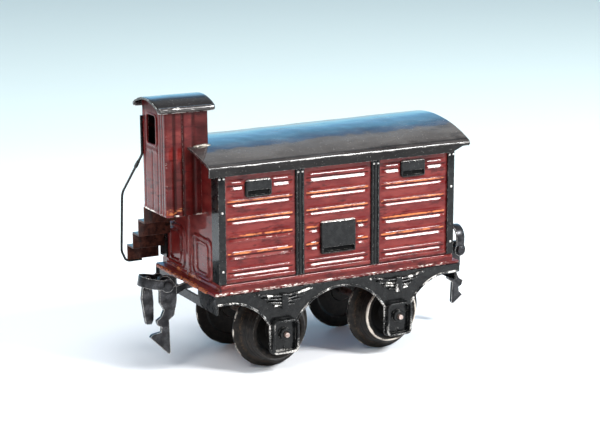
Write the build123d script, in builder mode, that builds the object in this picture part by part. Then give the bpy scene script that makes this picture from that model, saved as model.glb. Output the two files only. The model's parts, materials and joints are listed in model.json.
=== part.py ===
from build123d import *
import os
from math import cos, radians, sin, sqrt

os.makedirs("parts", exist_ok=True)

# A gauge 0 tinplate goods wagon with a raised brakeman's cab at one end.
# Frame: origin on the centre line, midway along the body, at the standing surface under the wheel
# flanges. +X runs along the wagon away from the cab, +Y across it to the stair side, +Z up.

# ---- driving dimensions, mm ----
body_length, body_width = 88.5, 46.2
panel_sheet = 0.6
floor_length, floor_width = 93.8, 48.4
floor_bottom, floor_top = 29.4, 30.4
plinth_top, plinth_stand = 33.2, 0.5
end_bar_y = 1.5

post_width, post_stand = 3.3, 0.8
post_x = (-15.4, 13.2)
corner_post_width, corner_post_return = 2.5, 4.4
rib_first, rib_pitch, rib_count = 35.6, 5.76, 6
rib_radius, rib_stand = 1.2, 0.5

roof_length, eave_y, eave_z = 98.0, 26.4, 72.4
crown_cab_end, crown_plain_end = 77.2, 78.75
roof_sheet, lip_height, lip_tuck, lip_snip, roof_gap = 0.6, 3.3, 0.7, 8.0, 0.03

cab_outer_x, cab_inner_x, cab_half_width = -56.7, -41.4, 9.5
cab_bottom, cab_sheet, cab_eave = 53.9, 0.6, 88.0
cab_gap = 0.05
cab_roof_half, cab_roof_rise, cab_roof_lip, cab_roof_sheet = 11.0, 2.4, 1.9, 0.8
cab_roof_ends = (-59.5, -39.2)

window_y, window_z, window_corner = (-2.0, 5.2), (76.6, 86.2), 1.2

tread_z, step_run, stair_sheet = (48.1, 42.6, 37.2, 32.3), 5.2, 0.6
stair_ends = (-56.7, -45.1)
rail_radius = 0.43

axle_x, axle_z = (-22.2, 21.5), 14.05
flange_radius, tread_root_radius, tread_edge_radius = 14.05, 11.5, 9.9
flange_back_y, flange_front_y, wheel_face_y = 14.0, 15.3, 21.1
axle_radius, journal_radius, journal_end_y = 1.25, 0.85, 27.5
journal_play = 0.05

frame_face_y, frame_sheet = 24.5, 1.0
frame_half_length, frame_strip_bottom = 46.8, 26.4
guard_half, guard_bottom = 5.0, 7.3
arch_crown, arch_spring = 27.2, 17.6
box_depth, box_wall = 2.2, 0.6
beam_x, beam_sheet, beam_bottom = 46.2, 0.7, 23.2

cab_end_pin, plain_end_pin = (-54.8, 29.8), (60.0, 28.2)
pin_radius, pin_play = 0.8, 0.05
strap_y, strap_sheet, strap_width, strap_reach, strap_eye = 4.0, 0.7, 3.4, 8.6, 2.3
plate_thickness = 1.0

# raised pads on each side: name, x, z, width, height, stand, corner radius
wall_pads = (("vent_cab_end", -30.5, 63.9, 9.6, 5.9, 1.0, 1.2),
             ("vent_plain_end", 27.8, 64.7, 9.6, 5.9, 1.0, 1.2),
             ("hatch", -1.1, 44.5, 13.2, 11.2, 1.2, 0.8))

cab_end_x = -body_length / 2
plain_end_x = body_length / 2
panel_face_y = body_width / 2


def save(solid, name):
    """Label one finished piece and write it to its own file."""
    solid.label = name
    export_step(solid, f"parts/{name}.step")


def across(y):
    """An X-Z sketch plane at the given y, extruded towards -Y."""
    return Plane.XZ.offset(-y)


def crown_at(x):
    """Height of the roof's outer crown at x: it falls slightly towards the cab."""
    share = (x + roof_length / 2) / roof_length
    return crown_cab_end + share * (crown_plain_end - crown_cab_end)


def arc_height(y, half, edge, crown):
    """Height at y of the arc through (-half, edge), (0, crown) and (half, edge)."""
    rise = crown - edge
    radius = (half * half + rise * rise) / (2 * rise)
    return crown - radius + sqrt(radius * radius - y * y)


# ---- body ----

def floor_tray():
    with BuildPart() as tray:
        with BuildSketch(Plane.XY.offset(floor_bottom)):
            RectangleRounded(floor_length, floor_width, 0.8)
        extrude(amount=floor_top - floor_bottom)
    return tray.part


def side_panel(side):
    """Pressed side sheet: six half-round plank ribs between the posts, over a stepped plinth."""
    edges = [cab_end_x - post_stand + corner_post_width]
    for x in post_x:
        edges += [x - post_width / 2, x + post_width / 2]
    edges.append(plain_end_x - corner_post_width)
    top = arc_height(panel_face_y, eave_y, eave_z, crown_at(cab_end_x)) - roof_sheet - 0.3
    with BuildPart() as panel:
        with BuildSketch(across(panel_face_y)):
            with Locations((0, (floor_top + top) / 2)):
                Rectangle(body_length, top - floor_top)
        extrude(amount=panel_sheet)
        with BuildSketch(Plane.YZ.offset(cab_end_x)):
            with BuildLine():
                Polyline(
                    (panel_face_y, floor_top),
                    (panel_face_y + plinth_stand, floor_top),
                    (panel_face_y + plinth_stand, floor_top + 1.1),
                    (panel_face_y + plinth_stand / 2, floor_top + 1.4),
                    (panel_face_y + plinth_stand / 2, plinth_top - 0.3),
                    (panel_face_y, plinth_top),
                    close=True,
                )
            make_face()
        extrude(amount=body_length)
        for start, end in zip(edges[0::2], edges[1::2]):
            for row in range(rib_count):
                z = rib_first + row * rib_pitch
                with BuildSketch(Plane.YZ.offset(start + 0.8)):
                    with Locations((panel_face_y - rib_radius + rib_stand, z)):
                        Circle(rib_radius)
                    with Locations((panel_face_y - 2 * rib_radius, z)):
                        Rectangle(4 * rib_radius, 2 * rib_radius, mode=Mode.SUBTRACT)
                extrude(amount=end - start - 1.6)
        with BuildSketch(across(panel_face_y)):
            for name, x, z, width, height, stand, corner in wall_pads:
                with Locations((x, z)):
                    Rectangle(width + 0.6, height)
        extrude(amount=-2 * rib_stand, mode=Mode.SUBTRACT)
        if side < 0:
            mirror(about=Plane.XZ, mode=Mode.REPLACE)
    return panel.part


def end_panel(end):
    """End sheet with an arched top, a central bar and two stamped panels."""
    face_x = end * plain_end_x
    sheet_start = face_x - panel_sheet if end > 0 else face_x
    half = panel_face_y - panel_sheet
    crown = crown_at(face_x) - roof_sheet - roof_gap
    edge = arc_height(half, eave_y - roof_sheet, eave_z - roof_sheet - roof_gap, crown)
    bar_top = cab_bottom - 0.6 if end < 0 else eave_z - 4
    with BuildPart() as panel:
        with BuildSketch(Plane.YZ.offset(sheet_start)):
            with BuildLine():
                Polyline((half, edge), (half, floor_top), (-half, floor_top), (-half, edge))
                ThreePointArc((-half, edge), (0, crown), (half, edge))
            make_face()
        extrude(amount=panel_sheet)
        out_plane = Plane.YZ.offset(face_x) if end > 0 else Plane.YZ.offset(face_x - 0.5)
        with BuildSketch(out_plane):
            with Locations((end_bar_y, (floor_top + bar_top) / 2)):
                Rectangle(2.2, bar_top - floor_top)
            for across_y in (-10.2, 10.2):
                with Locations((end_bar_y + across_y, (floor_top + bar_top) / 2)):
                    RectangleRounded(12.6, bar_top - floor_top - 4.4, 2.4)
                    RectangleRounded(8.6, bar_top - floor_top - 8.4, 1.6, mode=Mode.SUBTRACT)
        extrude(amount=0.5)
        with BuildSketch(out_plane):
            with Locations((0, floor_top + 0.7)):
                Rectangle(2 * half - 6, 1.4)
        extrude(amount=0.5)
    return panel.part


def mid_post(side, x):
    """Half-round post with two grooves, standing on the plinth."""
    height = eave_z - 1.4 - plinth_top
    with BuildPart() as post:
        with BuildSketch(Plane.XY.offset(plinth_top)):
            with Locations((x, side * (panel_face_y + post_stand / 2))):
                Rectangle(post_width, post_stand)
            for groove in (-0.55, 0.55):
                with Locations((x + groove, side * (panel_face_y + post_stand))):
                    Circle(0.22, mode=Mode.SUBTRACT)
        extrude(amount=height)
        outer = post.faces().sort_by(Axis.Y)[0 if side < 0 else -1]
        fillet(outer.edges().filter_by(Axis.Z).sort_by(Axis.X)[0], 0.35)
    return post.part


def corner_post(side, end):
    """Post at the body's corner; at the cab end it is an angle with a leg round on the end sheet."""
    outer_x = cab_end_x - post_stand if end < 0 else plain_end_x
    y = side * (panel_face_y + post_stand / 2)
    with BuildPart() as post:
        with BuildSketch(Plane.XY.offset(plinth_top)):
            with Locations((outer_x - end * corner_post_width / 2, y)):
                Rectangle(corner_post_width, post_stand)
            if end < 0:
                with Locations((cab_end_x - post_stand / 2, y - side * corner_post_return / 2)):
                    Rectangle(post_stand, corner_post_return + post_stand)
        extrude(amount=eave_z - 1.6 - plinth_top)
    return post.part


def wall_pad(side, x, z, width, height, stand, corner):
    """Raised pressed pad with rounded corners: a vent or a hatch."""
    with BuildPart() as pad:
        with BuildSketch(across(side * panel_face_y)):
            with Locations((x, z)):
                RectangleRounded(width, height, corner)
        extrude(amount=-side * stand)
        outer = pad.faces().sort_by(Axis.Y)[0 if side < 0 else -1]
        fillet(outer.edges(), 0.3)
    return pad.part


def roof():
    """Curved sheet with a folded lip along each eave and a notch for the cab."""
    def section(x):
        crown = crown_at(x)
        with BuildSketch(Plane.YZ.offset(x)) as profile:
            with BuildLine():
                Line((-eave_y, eave_z), (-eave_y + lip_tuck, eave_z - lip_height))
                Line((-eave_y + lip_tuck, eave_z - lip_height),
                     (-eave_y + lip_tuck + roof_sheet, eave_z - lip_height))
                Line((-eave_y + lip_tuck + roof_sheet, eave_z - lip_height),
                     (-eave_y + roof_sheet, eave_z - roof_sheet))
                ThreePointArc((-eave_y + roof_sheet, eave_z - roof_sheet), (0, crown - roof_sheet),
                              (eave_y - roof_sheet, eave_z - roof_sheet))
                Line((eave_y - roof_sheet, eave_z - roof_sheet),
                     (eave_y - lip_tuck - roof_sheet, eave_z - lip_height))
                Line((eave_y - lip_tuck - roof_sheet, eave_z - lip_height),
                     (eave_y - lip_tuck, eave_z - lip_height))
                Line((eave_y - lip_tuck, eave_z - lip_height), (eave_y, eave_z))
                ThreePointArc((eave_y, eave_z), (0, crown), (-eave_y, eave_z))
            make_face()
        return profile.sketch

    ends = (section(-roof_length / 2), section(roof_length / 2))
    notch_length = cab_inner_x + cab_gap + roof_length / 2
    snip_x = roof_length / 2
    with BuildPart() as shell:
        loft(sections=ends, ruled=True)
        with Locations((cab_inner_x + cab_gap - notch_length, 0, crown_plain_end)):
            Box(2 * notch_length, 2 * (cab_half_width + cab_gap), 30, mode=Mode.SUBTRACT)
        for side in (-1, 1):
            with BuildSketch(across(side * eave_y)):
                with BuildLine():
                    Polyline((snip_x, eave_z - 0.9), (snip_x - lip_snip, eave_z - lip_height),
                             (snip_x - lip_snip, eave_z - lip_height - 1),
                             (snip_x + 1, eave_z - lip_height - 1), (snip_x + 1, eave_z - 0.9),
                             close=True)
                make_face()
            extrude(amount=2.5, both=True, mode=Mode.SUBTRACT)
    return shell.part


# ---- cab ----

def cab_shell():
    """Four walls of the cab, one with a window; the inner part stands in the roof's notch."""
    saddle = crown_at(cab_end_x) - roof_sheet + cab_gap
    arch_edge = cab_eave + cab_roof_lip - cab_roof_sheet
    arch_crown_z = arch_edge + cab_roof_rise
    inside = cab_half_width - cab_sheet
    edge = arc_height(cab_half_width, cab_roof_half - cab_roof_sheet, arch_edge, arch_crown_z) - 0.02
    with BuildPart() as cab:
        with BuildSketch(across(cab_half_width)):
            with BuildLine():
                Polyline((cab_outer_x, cab_bottom), (cab_end_x, cab_bottom), (cab_end_x, saddle),
                         (cab_inner_x, saddle), (cab_inner_x, arch_crown_z),
                         (cab_outer_x, arch_crown_z), close=True)
            make_face()
        extrude(amount=2 * cab_half_width)
        with BuildSketch(Plane.YZ.offset(cab_outer_x)):
            with BuildLine():
                Line((-cab_half_width - 1, edge), (-cab_half_width - 1, edge + 10))
                Line((-cab_half_width - 1, edge + 10), (cab_half_width + 1, edge + 10))
                Line((cab_half_width + 1, edge + 10), (cab_half_width + 1, edge))
                Line((cab_half_width + 1, edge), (cab_half_width, edge))
                ThreePointArc((cab_half_width, edge), (0, arch_crown_z - 0.02), (-cab_half_width, edge))
                Line((-cab_half_width, edge), (-cab_half_width - 1, edge))
            make_face()
        extrude(amount=cab_inner_x - cab_outer_x, mode=Mode.SUBTRACT)
        with BuildSketch(across(inside)):
            with BuildLine():
                Polyline((cab_outer_x + cab_sheet, cab_bottom - 1), (cab_end_x + 1, cab_bottom - 1),
                         (cab_end_x + 1, saddle - 1), (cab_inner_x - cab_sheet, saddle - 1),
                         (cab_inner_x - cab_sheet, arch_crown_z + 1),
                         (cab_outer_x + cab_sheet, arch_crown_z + 1), close=True)
            make_face()
        extrude(amount=2 * inside, mode=Mode.SUBTRACT)
        with BuildSketch(Plane.YZ.offset(cab_outer_x)):
            with Locations((sum(window_y) / 2, sum(window_z) / 2)):
                RectangleRounded(window_y[1] - window_y[0], window_z[1] - window_z[0], window_corner)
        extrude(amount=cab_sheet + 0.2, mode=Mode.SUBTRACT)
    return cab.part


def cab_floor():
    with BuildPart() as deck:
        with BuildSketch(Plane.XY.offset(cab_bottom)):
            with Locations(((cab_outer_x + cab_sheet + cab_end_x) / 2, 0)):
                Rectangle(cab_end_x - cab_outer_x - cab_sheet, 2 * (cab_half_width - cab_sheet))
        extrude(amount=0.7)
    return deck.part


def cab_roof():
    """Small arched roof with a deep lip along both long sides."""
    top_edge = cab_eave + cab_roof_lip
    inner = cab_roof_half - cab_roof_sheet
    with BuildPart() as cover:
        with BuildSketch(Plane.YZ.offset(cab_roof_ends[0])):
            with BuildLine():
                Line((-cab_roof_half, top_edge), (-cab_roof_half, cab_eave))
                Line((-cab_roof_half, cab_eave), (-inner, cab_eave))
                Line((-inner, cab_eave), (-inner, top_edge - cab_roof_sheet))
                ThreePointArc((-inner, top_edge - cab_roof_sheet),
                              (0, top_edge + cab_roof_rise - cab_roof_sheet),
                              (inner, top_edge - cab_roof_sheet))
                Line((inner, top_edge - cab_roof_sheet), (inner, cab_eave))
                Line((inner, cab_eave), (cab_roof_half, cab_eave))
                Line((cab_roof_half, cab_eave), (cab_roof_half, top_edge))
                ThreePointArc((cab_roof_half, top_edge), (0, top_edge + cab_roof_rise),
                              (-cab_roof_half, top_edge))
            make_face()
        extrude(amount=cab_roof_ends[1] - cab_roof_ends[0])
    return cover.part


def stairs():
    """Folded sheet stair from the cab's far wall down to the floor's corner."""
    points = [(cab_half_width, cab_bottom)]
    for step, z in enumerate(tread_z):
        y = cab_half_width + step * step_run
        points += [(y, z), (y + step_run, z)]
    points = points[:-1]
    with BuildPart() as flight:
        with BuildSketch(Plane.YZ.offset(stair_ends[0])):
            with BuildLine() as fold:
                Polyline(*points)
                offset(amount=stair_sheet, side=Side.LEFT)
            make_face()
        extrude(amount=stair_ends[1] - stair_ends[0])
    return flight.part


def handrail():
    """Bent wire from the cab's front corner out over the stairs and under the lowest step."""
    x = cab_outer_x - rail_radius
    foot_y = cab_half_width + (len(tread_z) - 1) * step_run + 0.4
    foot_z = tread_z[-1] - rail_radius - 0.02
    bends = [(x, 8.9, 85), (x, 8.9, 72), (x, 27.6, 55.3), (x, 29.6, 34.4), (x, foot_y, foot_z),
             (-51.4, foot_y, foot_z)]
    with BuildPart() as rail:
        with BuildLine() as route:
            FilletPolyline(*bends, radius=[2.0, 5.0, 1.4, 1.4])
        with BuildSketch(Plane(origin=bends[0], z_dir=(0, 0, -1))):
            Circle(rail_radius)
        sweep()
    return rail.part


# ---- running gear ----

def side_frame(side):
    """Pressed side frame: top strip, three wheel arches and two axle guards."""
    with BuildPart() as frame:
        with BuildSketch(across(side * frame_face_y)):
            with BuildLine():
                left, right = axle_x
                Line((left + guard_half, guard_bottom), (left + guard_half, arch_spring))
                ThreePointArc((left + guard_half, arch_spring), ((left + right) / 2, arch_crown),
                              (right - guard_half, arch_spring))
                Line((right - guard_half, arch_spring), (right - guard_half, guard_bottom))
                Line((right - guard_half, guard_bottom), (right + guard_half, guard_bottom))
                Line((right + guard_half, guard_bottom), (right + guard_half, arch_spring - 0.8))
                ThreePointArc((right + guard_half, arch_spring - 0.8), (right + 9.8, 22.6),
                              (right + 19, frame_strip_bottom))
                Polyline((right + 19, frame_strip_bottom), (frame_half_length, frame_strip_bottom),
                         (frame_half_length, floor_bottom), (-frame_half_length, floor_bottom),
                         (-frame_half_length, frame_strip_bottom), (left - 19, frame_strip_bottom))
                ThreePointArc((left - 19, frame_strip_bottom), (left - 9.8, 22.6),
                              (left - guard_half, arch_spring - 0.8))
                Polyline((left - guard_half, arch_spring - 0.8), (left - guard_half, guard_bottom),
                         (left + guard_half, guard_bottom))
            make_face()
        extrude(amount=side * frame_sheet)
        corners = frame.edges().filter_by(Axis.Y).group_by(Axis.Z)[0]
        fillet(corners, 1.6)
        with BuildSketch(across(side * (frame_face_y + 1))):
            with Locations(*[(x, axle_z) for x in axle_x]):
                Circle(journal_radius + 0.6)
        extrude(amount=side * (frame_sheet + 2), mode=Mode.SUBTRACT)
    return frame.part


def axle_box(side, x):
    """Open cup on the guard, rounded below, with a bored boss for the journal."""
    width, bottom, top = 2 * guard_half - 0.4, guard_bottom + 0.2, 19.0
    middle = (bottom + top) / 2
    with BuildPart() as box:
        with BuildSketch(across(side * frame_face_y)):
            with Locations((x, middle)):
                RectangleRounded(width, top - bottom, 1.8)
                RectangleRounded(width - 2 * box_wall, top - bottom - 2 * box_wall, 1.3,
                                 mode=Mode.SUBTRACT)
        extrude(amount=-side * box_depth)
        with BuildSketch(across(side * frame_face_y)):
            with Locations((x, middle)):
                RectangleRounded(width - 0.6, top - bottom - 0.6, 1.5)
        extrude(amount=-side * 0.5)
        with BuildSketch(across(side * frame_face_y)):
            with Locations((x, axle_z)):
                Circle(2.1)
        extrude(amount=-side * (box_depth - 0.3))
        with BuildSketch(across(side * (frame_face_y - 1))):
            with Locations((x, axle_z)):
                Circle(journal_radius + journal_play)
        extrude(amount=-side * (box_depth + 2), mode=Mode.SUBTRACT)
    return box.part


def leaf_spring(side, x):
    """Stack of four curved leaves, longest on top, held by a buckle."""
    leaf, gap, bend = 0.85, 0.25, 32.0
    lengths = (10.6, 8.2, 6.0, 3.9)
    with BuildPart() as spring:
        with BuildSketch(across(side * frame_face_y)):
            for row, reach in enumerate(lengths):
                low = 26.6 - row * (leaf + gap)
                rise = reach * reach / (2 * bend)
                with BuildLine():
                    ThreePointArc((x - reach, low + rise), (x, low), (x + reach, low + rise))
                    Line((x + reach, low + rise), (x + reach, low + rise + leaf))
                    ThreePointArc((x + reach, low + rise + leaf), (x, low + leaf),
                                  (x - reach, low + rise + leaf))
                    Line((x - reach, low + rise + leaf), (x - reach, low + rise))
                make_face()
            with Locations((x, 25.3)):
                Rectangle(2.6, 5.4)
        extrude(amount=-side * 1.1)
        with BuildSketch(across(side * (frame_face_y + 1.1))):
            with Locations((x, 25.3)):
                RectangleRounded(2.2, 5.0, 0.4)
        extrude(amount=-side * 0.4)
    return spring.part


def end_beam(end):
    """Cross sheet under the floor's end, with an opening for the drawbar."""
    half = frame_face_y - frame_sheet
    with BuildPart() as beam:
        with BuildSketch(Plane.YZ.offset(end * beam_x - (0 if end < 0 else beam_sheet))):
            with Locations((0, (floor_bottom + beam_bottom) / 2)):
                Rectangle(2 * half, floor_bottom - beam_bottom)
            with Locations((0, floor_bottom - 1.5)):
                Rectangle(18.6, 3.2, mode=Mode.SUBTRACT)
        extrude(amount=beam_sheet)
    return beam.part


# ---- wheelsets ----

def axle(x):
    """Stepped steel axle: thick between the wheel faces, thin at both journals."""
    with BuildPart() as shaft:
        with BuildSketch(Plane.XZ.offset(-wheel_face_y + 0.6)):
            with Locations((x, axle_z)):
                Circle(axle_radius)
        extrude(amount=2 * (wheel_face_y - 0.6))
        with BuildSketch(Plane.XZ.offset(-journal_end_y)):
            with Locations((x, axle_z)):
                Circle(journal_radius)
        extrude(amount=2 * journal_end_y)
        ends = shaft.edges().filter_by(GeomType.CIRCLE).sort_by(Axis.Y)
        chamfer([ends[0], ends[-1]], 0.2)
    return shaft.part


def wheel(side, x):
    """Cast wheel: thin flange, strongly coned tread, dished outer face."""
    with BuildPart() as disc:
        with BuildSketch(Plane.XY):
            with BuildLine():
                Line((axle_radius, flange_back_y), (flange_radius - 0.5, flange_back_y))
                ThreePointArc((flange_radius - 0.5, flange_back_y),
                              (flange_radius, (flange_back_y + flange_front_y) / 2 - 0.2),
                              (flange_radius - 0.6, flange_front_y - 0.2))
                ThreePointArc((flange_radius - 0.6, flange_front_y - 0.2),
                              (tread_root_radius + 0.55, flange_front_y + 0.75),
                              (tread_root_radius, flange_front_y + 1.7))
                Polyline((tread_root_radius, flange_front_y + 1.7), (tread_edge_radius, wheel_face_y),
                         (7.6, wheel_face_y), (7.0, wheel_face_y - 2.4),
                         (3.4, wheel_face_y - 2.4), (3.0, wheel_face_y - 0.7),
                         (axle_radius, wheel_face_y - 0.7), (axle_radius, flange_back_y))
            make_face()
        revolve(axis=Axis.Y)
    hub = disc.part if side > 0 else disc.part.mirror(Plane.XZ)
    return hub.moved(Location((x, 0, axle_z)))


# ---- couplings ----

def drawbar(end, pin):
    """Flat bar on edge from under the floor out to the coupling pin."""
    pin_x, pin_z = pin
    inner_x, lip_x = end * 38.0, end * 45.0
    with BuildPart() as bar:
        with BuildSketch(across(plate_thickness / 2)):
            with BuildLine():
                Polyline((inner_x, floor_bottom), (lip_x, floor_bottom), (pin_x - end * 4.6, 27.9),
                         (pin_x - end * 4.4, pin_z + 1.6), (pin_x - end * 1.5, pin_z + 2.5),
                         (pin_x + end * 1.5, pin_z + 2.3), (pin_x + end * 2.4, pin_z - 0.6),
                         (pin_x - end * 0.6, pin_z - 2.8), (pin_x - end * 4.4, 24.9),
                         (end * (beam_x + 0.8), 26.5), (inner_x, 27.6), close=True)
            make_face()
            with Locations(pin):
                Circle(pin_radius, mode=Mode.SUBTRACT)
        extrude(amount=plate_thickness)
    return bar.part


def coupling_pin(pin):
    """Cross rivet through the drawbar with a round head at each end."""
    reach = strap_y + strap_sheet + 0.1
    with BuildPart() as rivet:
        with BuildSketch(across(reach)):
            with Locations(pin):
                Circle(pin_radius)
        extrude(amount=2 * reach)
        for side in (-1, 1):
            with BuildSketch(across(side * reach)):
                with Locations(pin):
                    Circle(1.55)
            extrude(amount=-side * 0.8)
        heads = rivet.edges().filter_by(GeomType.CIRCLE).sort_by(Axis.Y)
        fillet([heads[0], heads[-1]], 0.5)
    return rivet.part


def hook(end, pin, blade_reach, barb_reach):
    """Hanging arrow-headed hook: round head, broad plate, neck with a lug, outward barb."""
    x, z = pin
    tip_z = z - blade_reach
    with BuildPart() as blade:
        with BuildSketch(across(-plate_thickness / 2 - 0.1)):
            with Locations(pin):
                Circle(2.7)
            with BuildLine():
                Polyline((x + end * 1.8, z - 1.0), (x + end * 1.9, z - 6.4), (x + end * 0.4, z - 9.0),
                         (x + end * 1.4, z - 11.2), (x + end * 3.2, z - 12.4),
                         (x + end * 2.6, z - 14.2), (x + end * 1.4, z - 14.7),
                         (x + end * 1.6, z - 16.4), (x + end * (barb_reach - 0.8), z - 16.9),
                         (x + end * barb_reach, z - 17.8), (x - end * 1.1, tip_z),
                         (x - end * 1.6, tip_z + 0.9), (x - end * 1.3, z - 12.6),
                         (x - end * 3.2, z - 11.2), (x - end * 4.3, z - 6.2),
                         (x - end * 4.2, z - 1.2), close=True)
            make_face()
            with Locations(pin):
                Circle(pin_radius + pin_play, mode=Mode.SUBTRACT)
        extrude(amount=plate_thickness + 0.3)
        fillet(blade.edges().filter_by(Axis.Y).sort_by(Axis.Z)[0], 0.4)
    return blade.part


def loop(pin, lean):
    """U-shaped strap on the pin; lean is its direction in degrees from +X towards +Z."""
    x, z = pin
    along = (cos(radians(lean)), 0, sin(radians(lean)))
    flat = Plane(origin=(x, 0, z), x_dir=along, z_dir=(0, 1, 0))
    plan = Plane(origin=(x, 0, z), x_dir=along, z_dir=(-along[2], 0, along[0]))
    bend_x = strap_reach - strap_y - strap_sheet
    with BuildPart() as strap:
        with BuildSketch(plan):
            with Locations((bend_x, 0)):
                Circle(strap_y + strap_sheet)
            with Locations((bend_x / 2, 0)):
                Rectangle(bend_x, 2 * (strap_y + strap_sheet))
            with Locations((bend_x, 0)):
                Circle(strap_y, mode=Mode.SUBTRACT)
            Rectangle(2 * bend_x, 2 * strap_y, mode=Mode.SUBTRACT)
        extrude(amount=strap_width / 2, both=True)
        for side in (-1, 1):
            with BuildSketch(flat.offset(side * strap_y)):
                Circle(strap_eye)
            extrude(amount=side * strap_sheet)
            with BuildSketch(flat.offset(side * strap_y)):
                Circle(pin_radius + pin_play)
            extrude(amount=side * strap_sheet, mode=Mode.SUBTRACT)
    return strap.part


def link_pin(centre):
    """Small cross bar between the strap's arms that carries the drop link."""
    reach = strap_y - 0.4
    with BuildPart() as bar:
        with BuildSketch(across(reach)):
            with Locations(centre):
                Circle(0.6)
        extrude(amount=2 * reach)
    return bar.part


def drop_link(centre):
    """Tapered tongue that hangs from a rolled eye."""
    x, z = centre
    with BuildPart() as tongue:
        with BuildSketch(across(2.4)):
            with Locations(centre):
                Circle(1.5)
            with BuildLine():
                Polyline((x - 1.4, z), (x + 1.4, z), (x + 2.0, z - 7.4), (x + 1.9, z - 13.6),
                         (x + 1.2, z - 15.2), (x - 0.8, z - 15.0), (x - 1.3, z - 12.6),
                         (x - 2.2, z - 6.0), close=True)
            make_face()
            with Locations(centre):
                Circle(0.6 + pin_play, mode=Mode.SUBTRACT)
        extrude(amount=1.4)
    return tongue.part


sides = {"near": -1, "far": 1}
ends = {"cab_end": -1, "plain_end": 1}

save(floor_tray(), "floor_tray")
save(roof(), "roof")
save(cab_shell(), "cab_shell")
save(cab_floor(), "cab_floor")
save(cab_roof(), "cab_roof")
save(stairs(), "stairs")
save(handrail(), "handrail")

for end_name, end in ends.items():
    save(end_panel(end), f"{end_name}_panel")
    save(end_beam(end), f"{end_name}_beam")

for side_name, side in sides.items():
    save(side_panel(side), f"{side_name}_side_panel")
    save(side_frame(side), f"{side_name}_side_frame")
    for pad_name, *pad in wall_pads:
        save(wall_pad(side, *pad), f"{side_name}_{pad_name}")
    for end_name, end in ends.items():
        save(corner_post(side, end), f"{side_name}_{end_name}_corner_post")
    for number, x in enumerate(post_x, start=1):
        save(mid_post(side, x), f"{side_name}_post_{number}")
    for end_name, x in zip(ends, axle_x):
        save(axle_box(side, x), f"{side_name}_{end_name}_axle_box")
        save(leaf_spring(side, x), f"{side_name}_{end_name}_leaf_spring")
        save(wheel(side, x), f"{side_name}_{end_name}_wheel")

for end_name, x in zip(ends, axle_x):
    save(axle(x), f"{end_name}_axle")

for end_name, pin in zip(ends, (cab_end_pin, plain_end_pin)):
    save(drawbar(ends[end_name], pin), f"{end_name}_drawbar")
    save(coupling_pin(pin), f"{end_name}_coupling_pin")

save(hook(-1, cab_end_pin, 24.6, 5.6), "cab_end_hook")
save(hook(1, plain_end_pin, 20.8, 3.0), "plain_end_hook")

loop_lean = 168.0
link_centre = (cab_end_pin[0] + 5.0 * cos(radians(loop_lean)),
               cab_end_pin[1] + 5.0 * sin(radians(loop_lean)))
save(loop(cab_end_pin, loop_lean), "cab_end_loop")
save(loop(plain_end_pin, 88.0), "plain_end_loop")
save(link_pin(link_centre), "link_pin")
save(drop_link(link_centre), "drop_link")
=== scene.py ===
import bmesh
import bpy
import json
from functools import cache
from math import atan2, cos, degrees, hypot, pi, radians, sin, sqrt, tan
from mathutils import Matrix, Vector, noise


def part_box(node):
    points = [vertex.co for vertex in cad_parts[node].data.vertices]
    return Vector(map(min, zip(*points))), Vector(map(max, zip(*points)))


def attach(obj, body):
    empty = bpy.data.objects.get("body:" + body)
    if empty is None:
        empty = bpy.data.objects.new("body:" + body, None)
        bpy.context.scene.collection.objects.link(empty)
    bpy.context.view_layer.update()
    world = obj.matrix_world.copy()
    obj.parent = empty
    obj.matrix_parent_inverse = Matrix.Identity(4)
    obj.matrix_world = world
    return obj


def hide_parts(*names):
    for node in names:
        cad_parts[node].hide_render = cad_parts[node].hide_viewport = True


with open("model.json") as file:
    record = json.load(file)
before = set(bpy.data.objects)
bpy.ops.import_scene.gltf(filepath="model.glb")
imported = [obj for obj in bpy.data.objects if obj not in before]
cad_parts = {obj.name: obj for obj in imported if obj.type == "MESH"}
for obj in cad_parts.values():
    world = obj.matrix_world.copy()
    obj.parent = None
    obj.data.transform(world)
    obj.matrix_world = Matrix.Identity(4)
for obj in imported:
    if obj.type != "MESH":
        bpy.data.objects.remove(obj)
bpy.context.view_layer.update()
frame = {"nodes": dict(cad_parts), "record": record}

# The looks of a tinplate goods wagon. Every length here is in millimetres in the CAD's own frame, and
# is turned into metres when a mesh is made. Places come from the CAD nodes' boxes.
MM = 0.001
NEAR, FAR = -1, 1
SIDES = {"near": NEAR, "far": FAR}
ENDS = {"cab_end": -1, "plain_end": 1}


@cache
def box(node):
    """Lowest and highest corner of a CAD node, in millimetres."""
    low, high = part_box(node)
    return low / MM, high / MM


def middle_of(node, axis):
    """The middle of a CAD node's box along an axis."""
    low, high = box(node)
    return (low[axis] + high[axis]) / 2


def rgb(red, green, blue):
    """A colour given as seen on screen, from 0 to 255, as the linear values that nodes use."""
    shown = (red, green, blue)
    return (*(((c / 255 + 0.055) / 1.055) ** 2.4 if c > 10 else c / 3294.6 for c in shown), 1)


# ---- node materials ----

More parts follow.
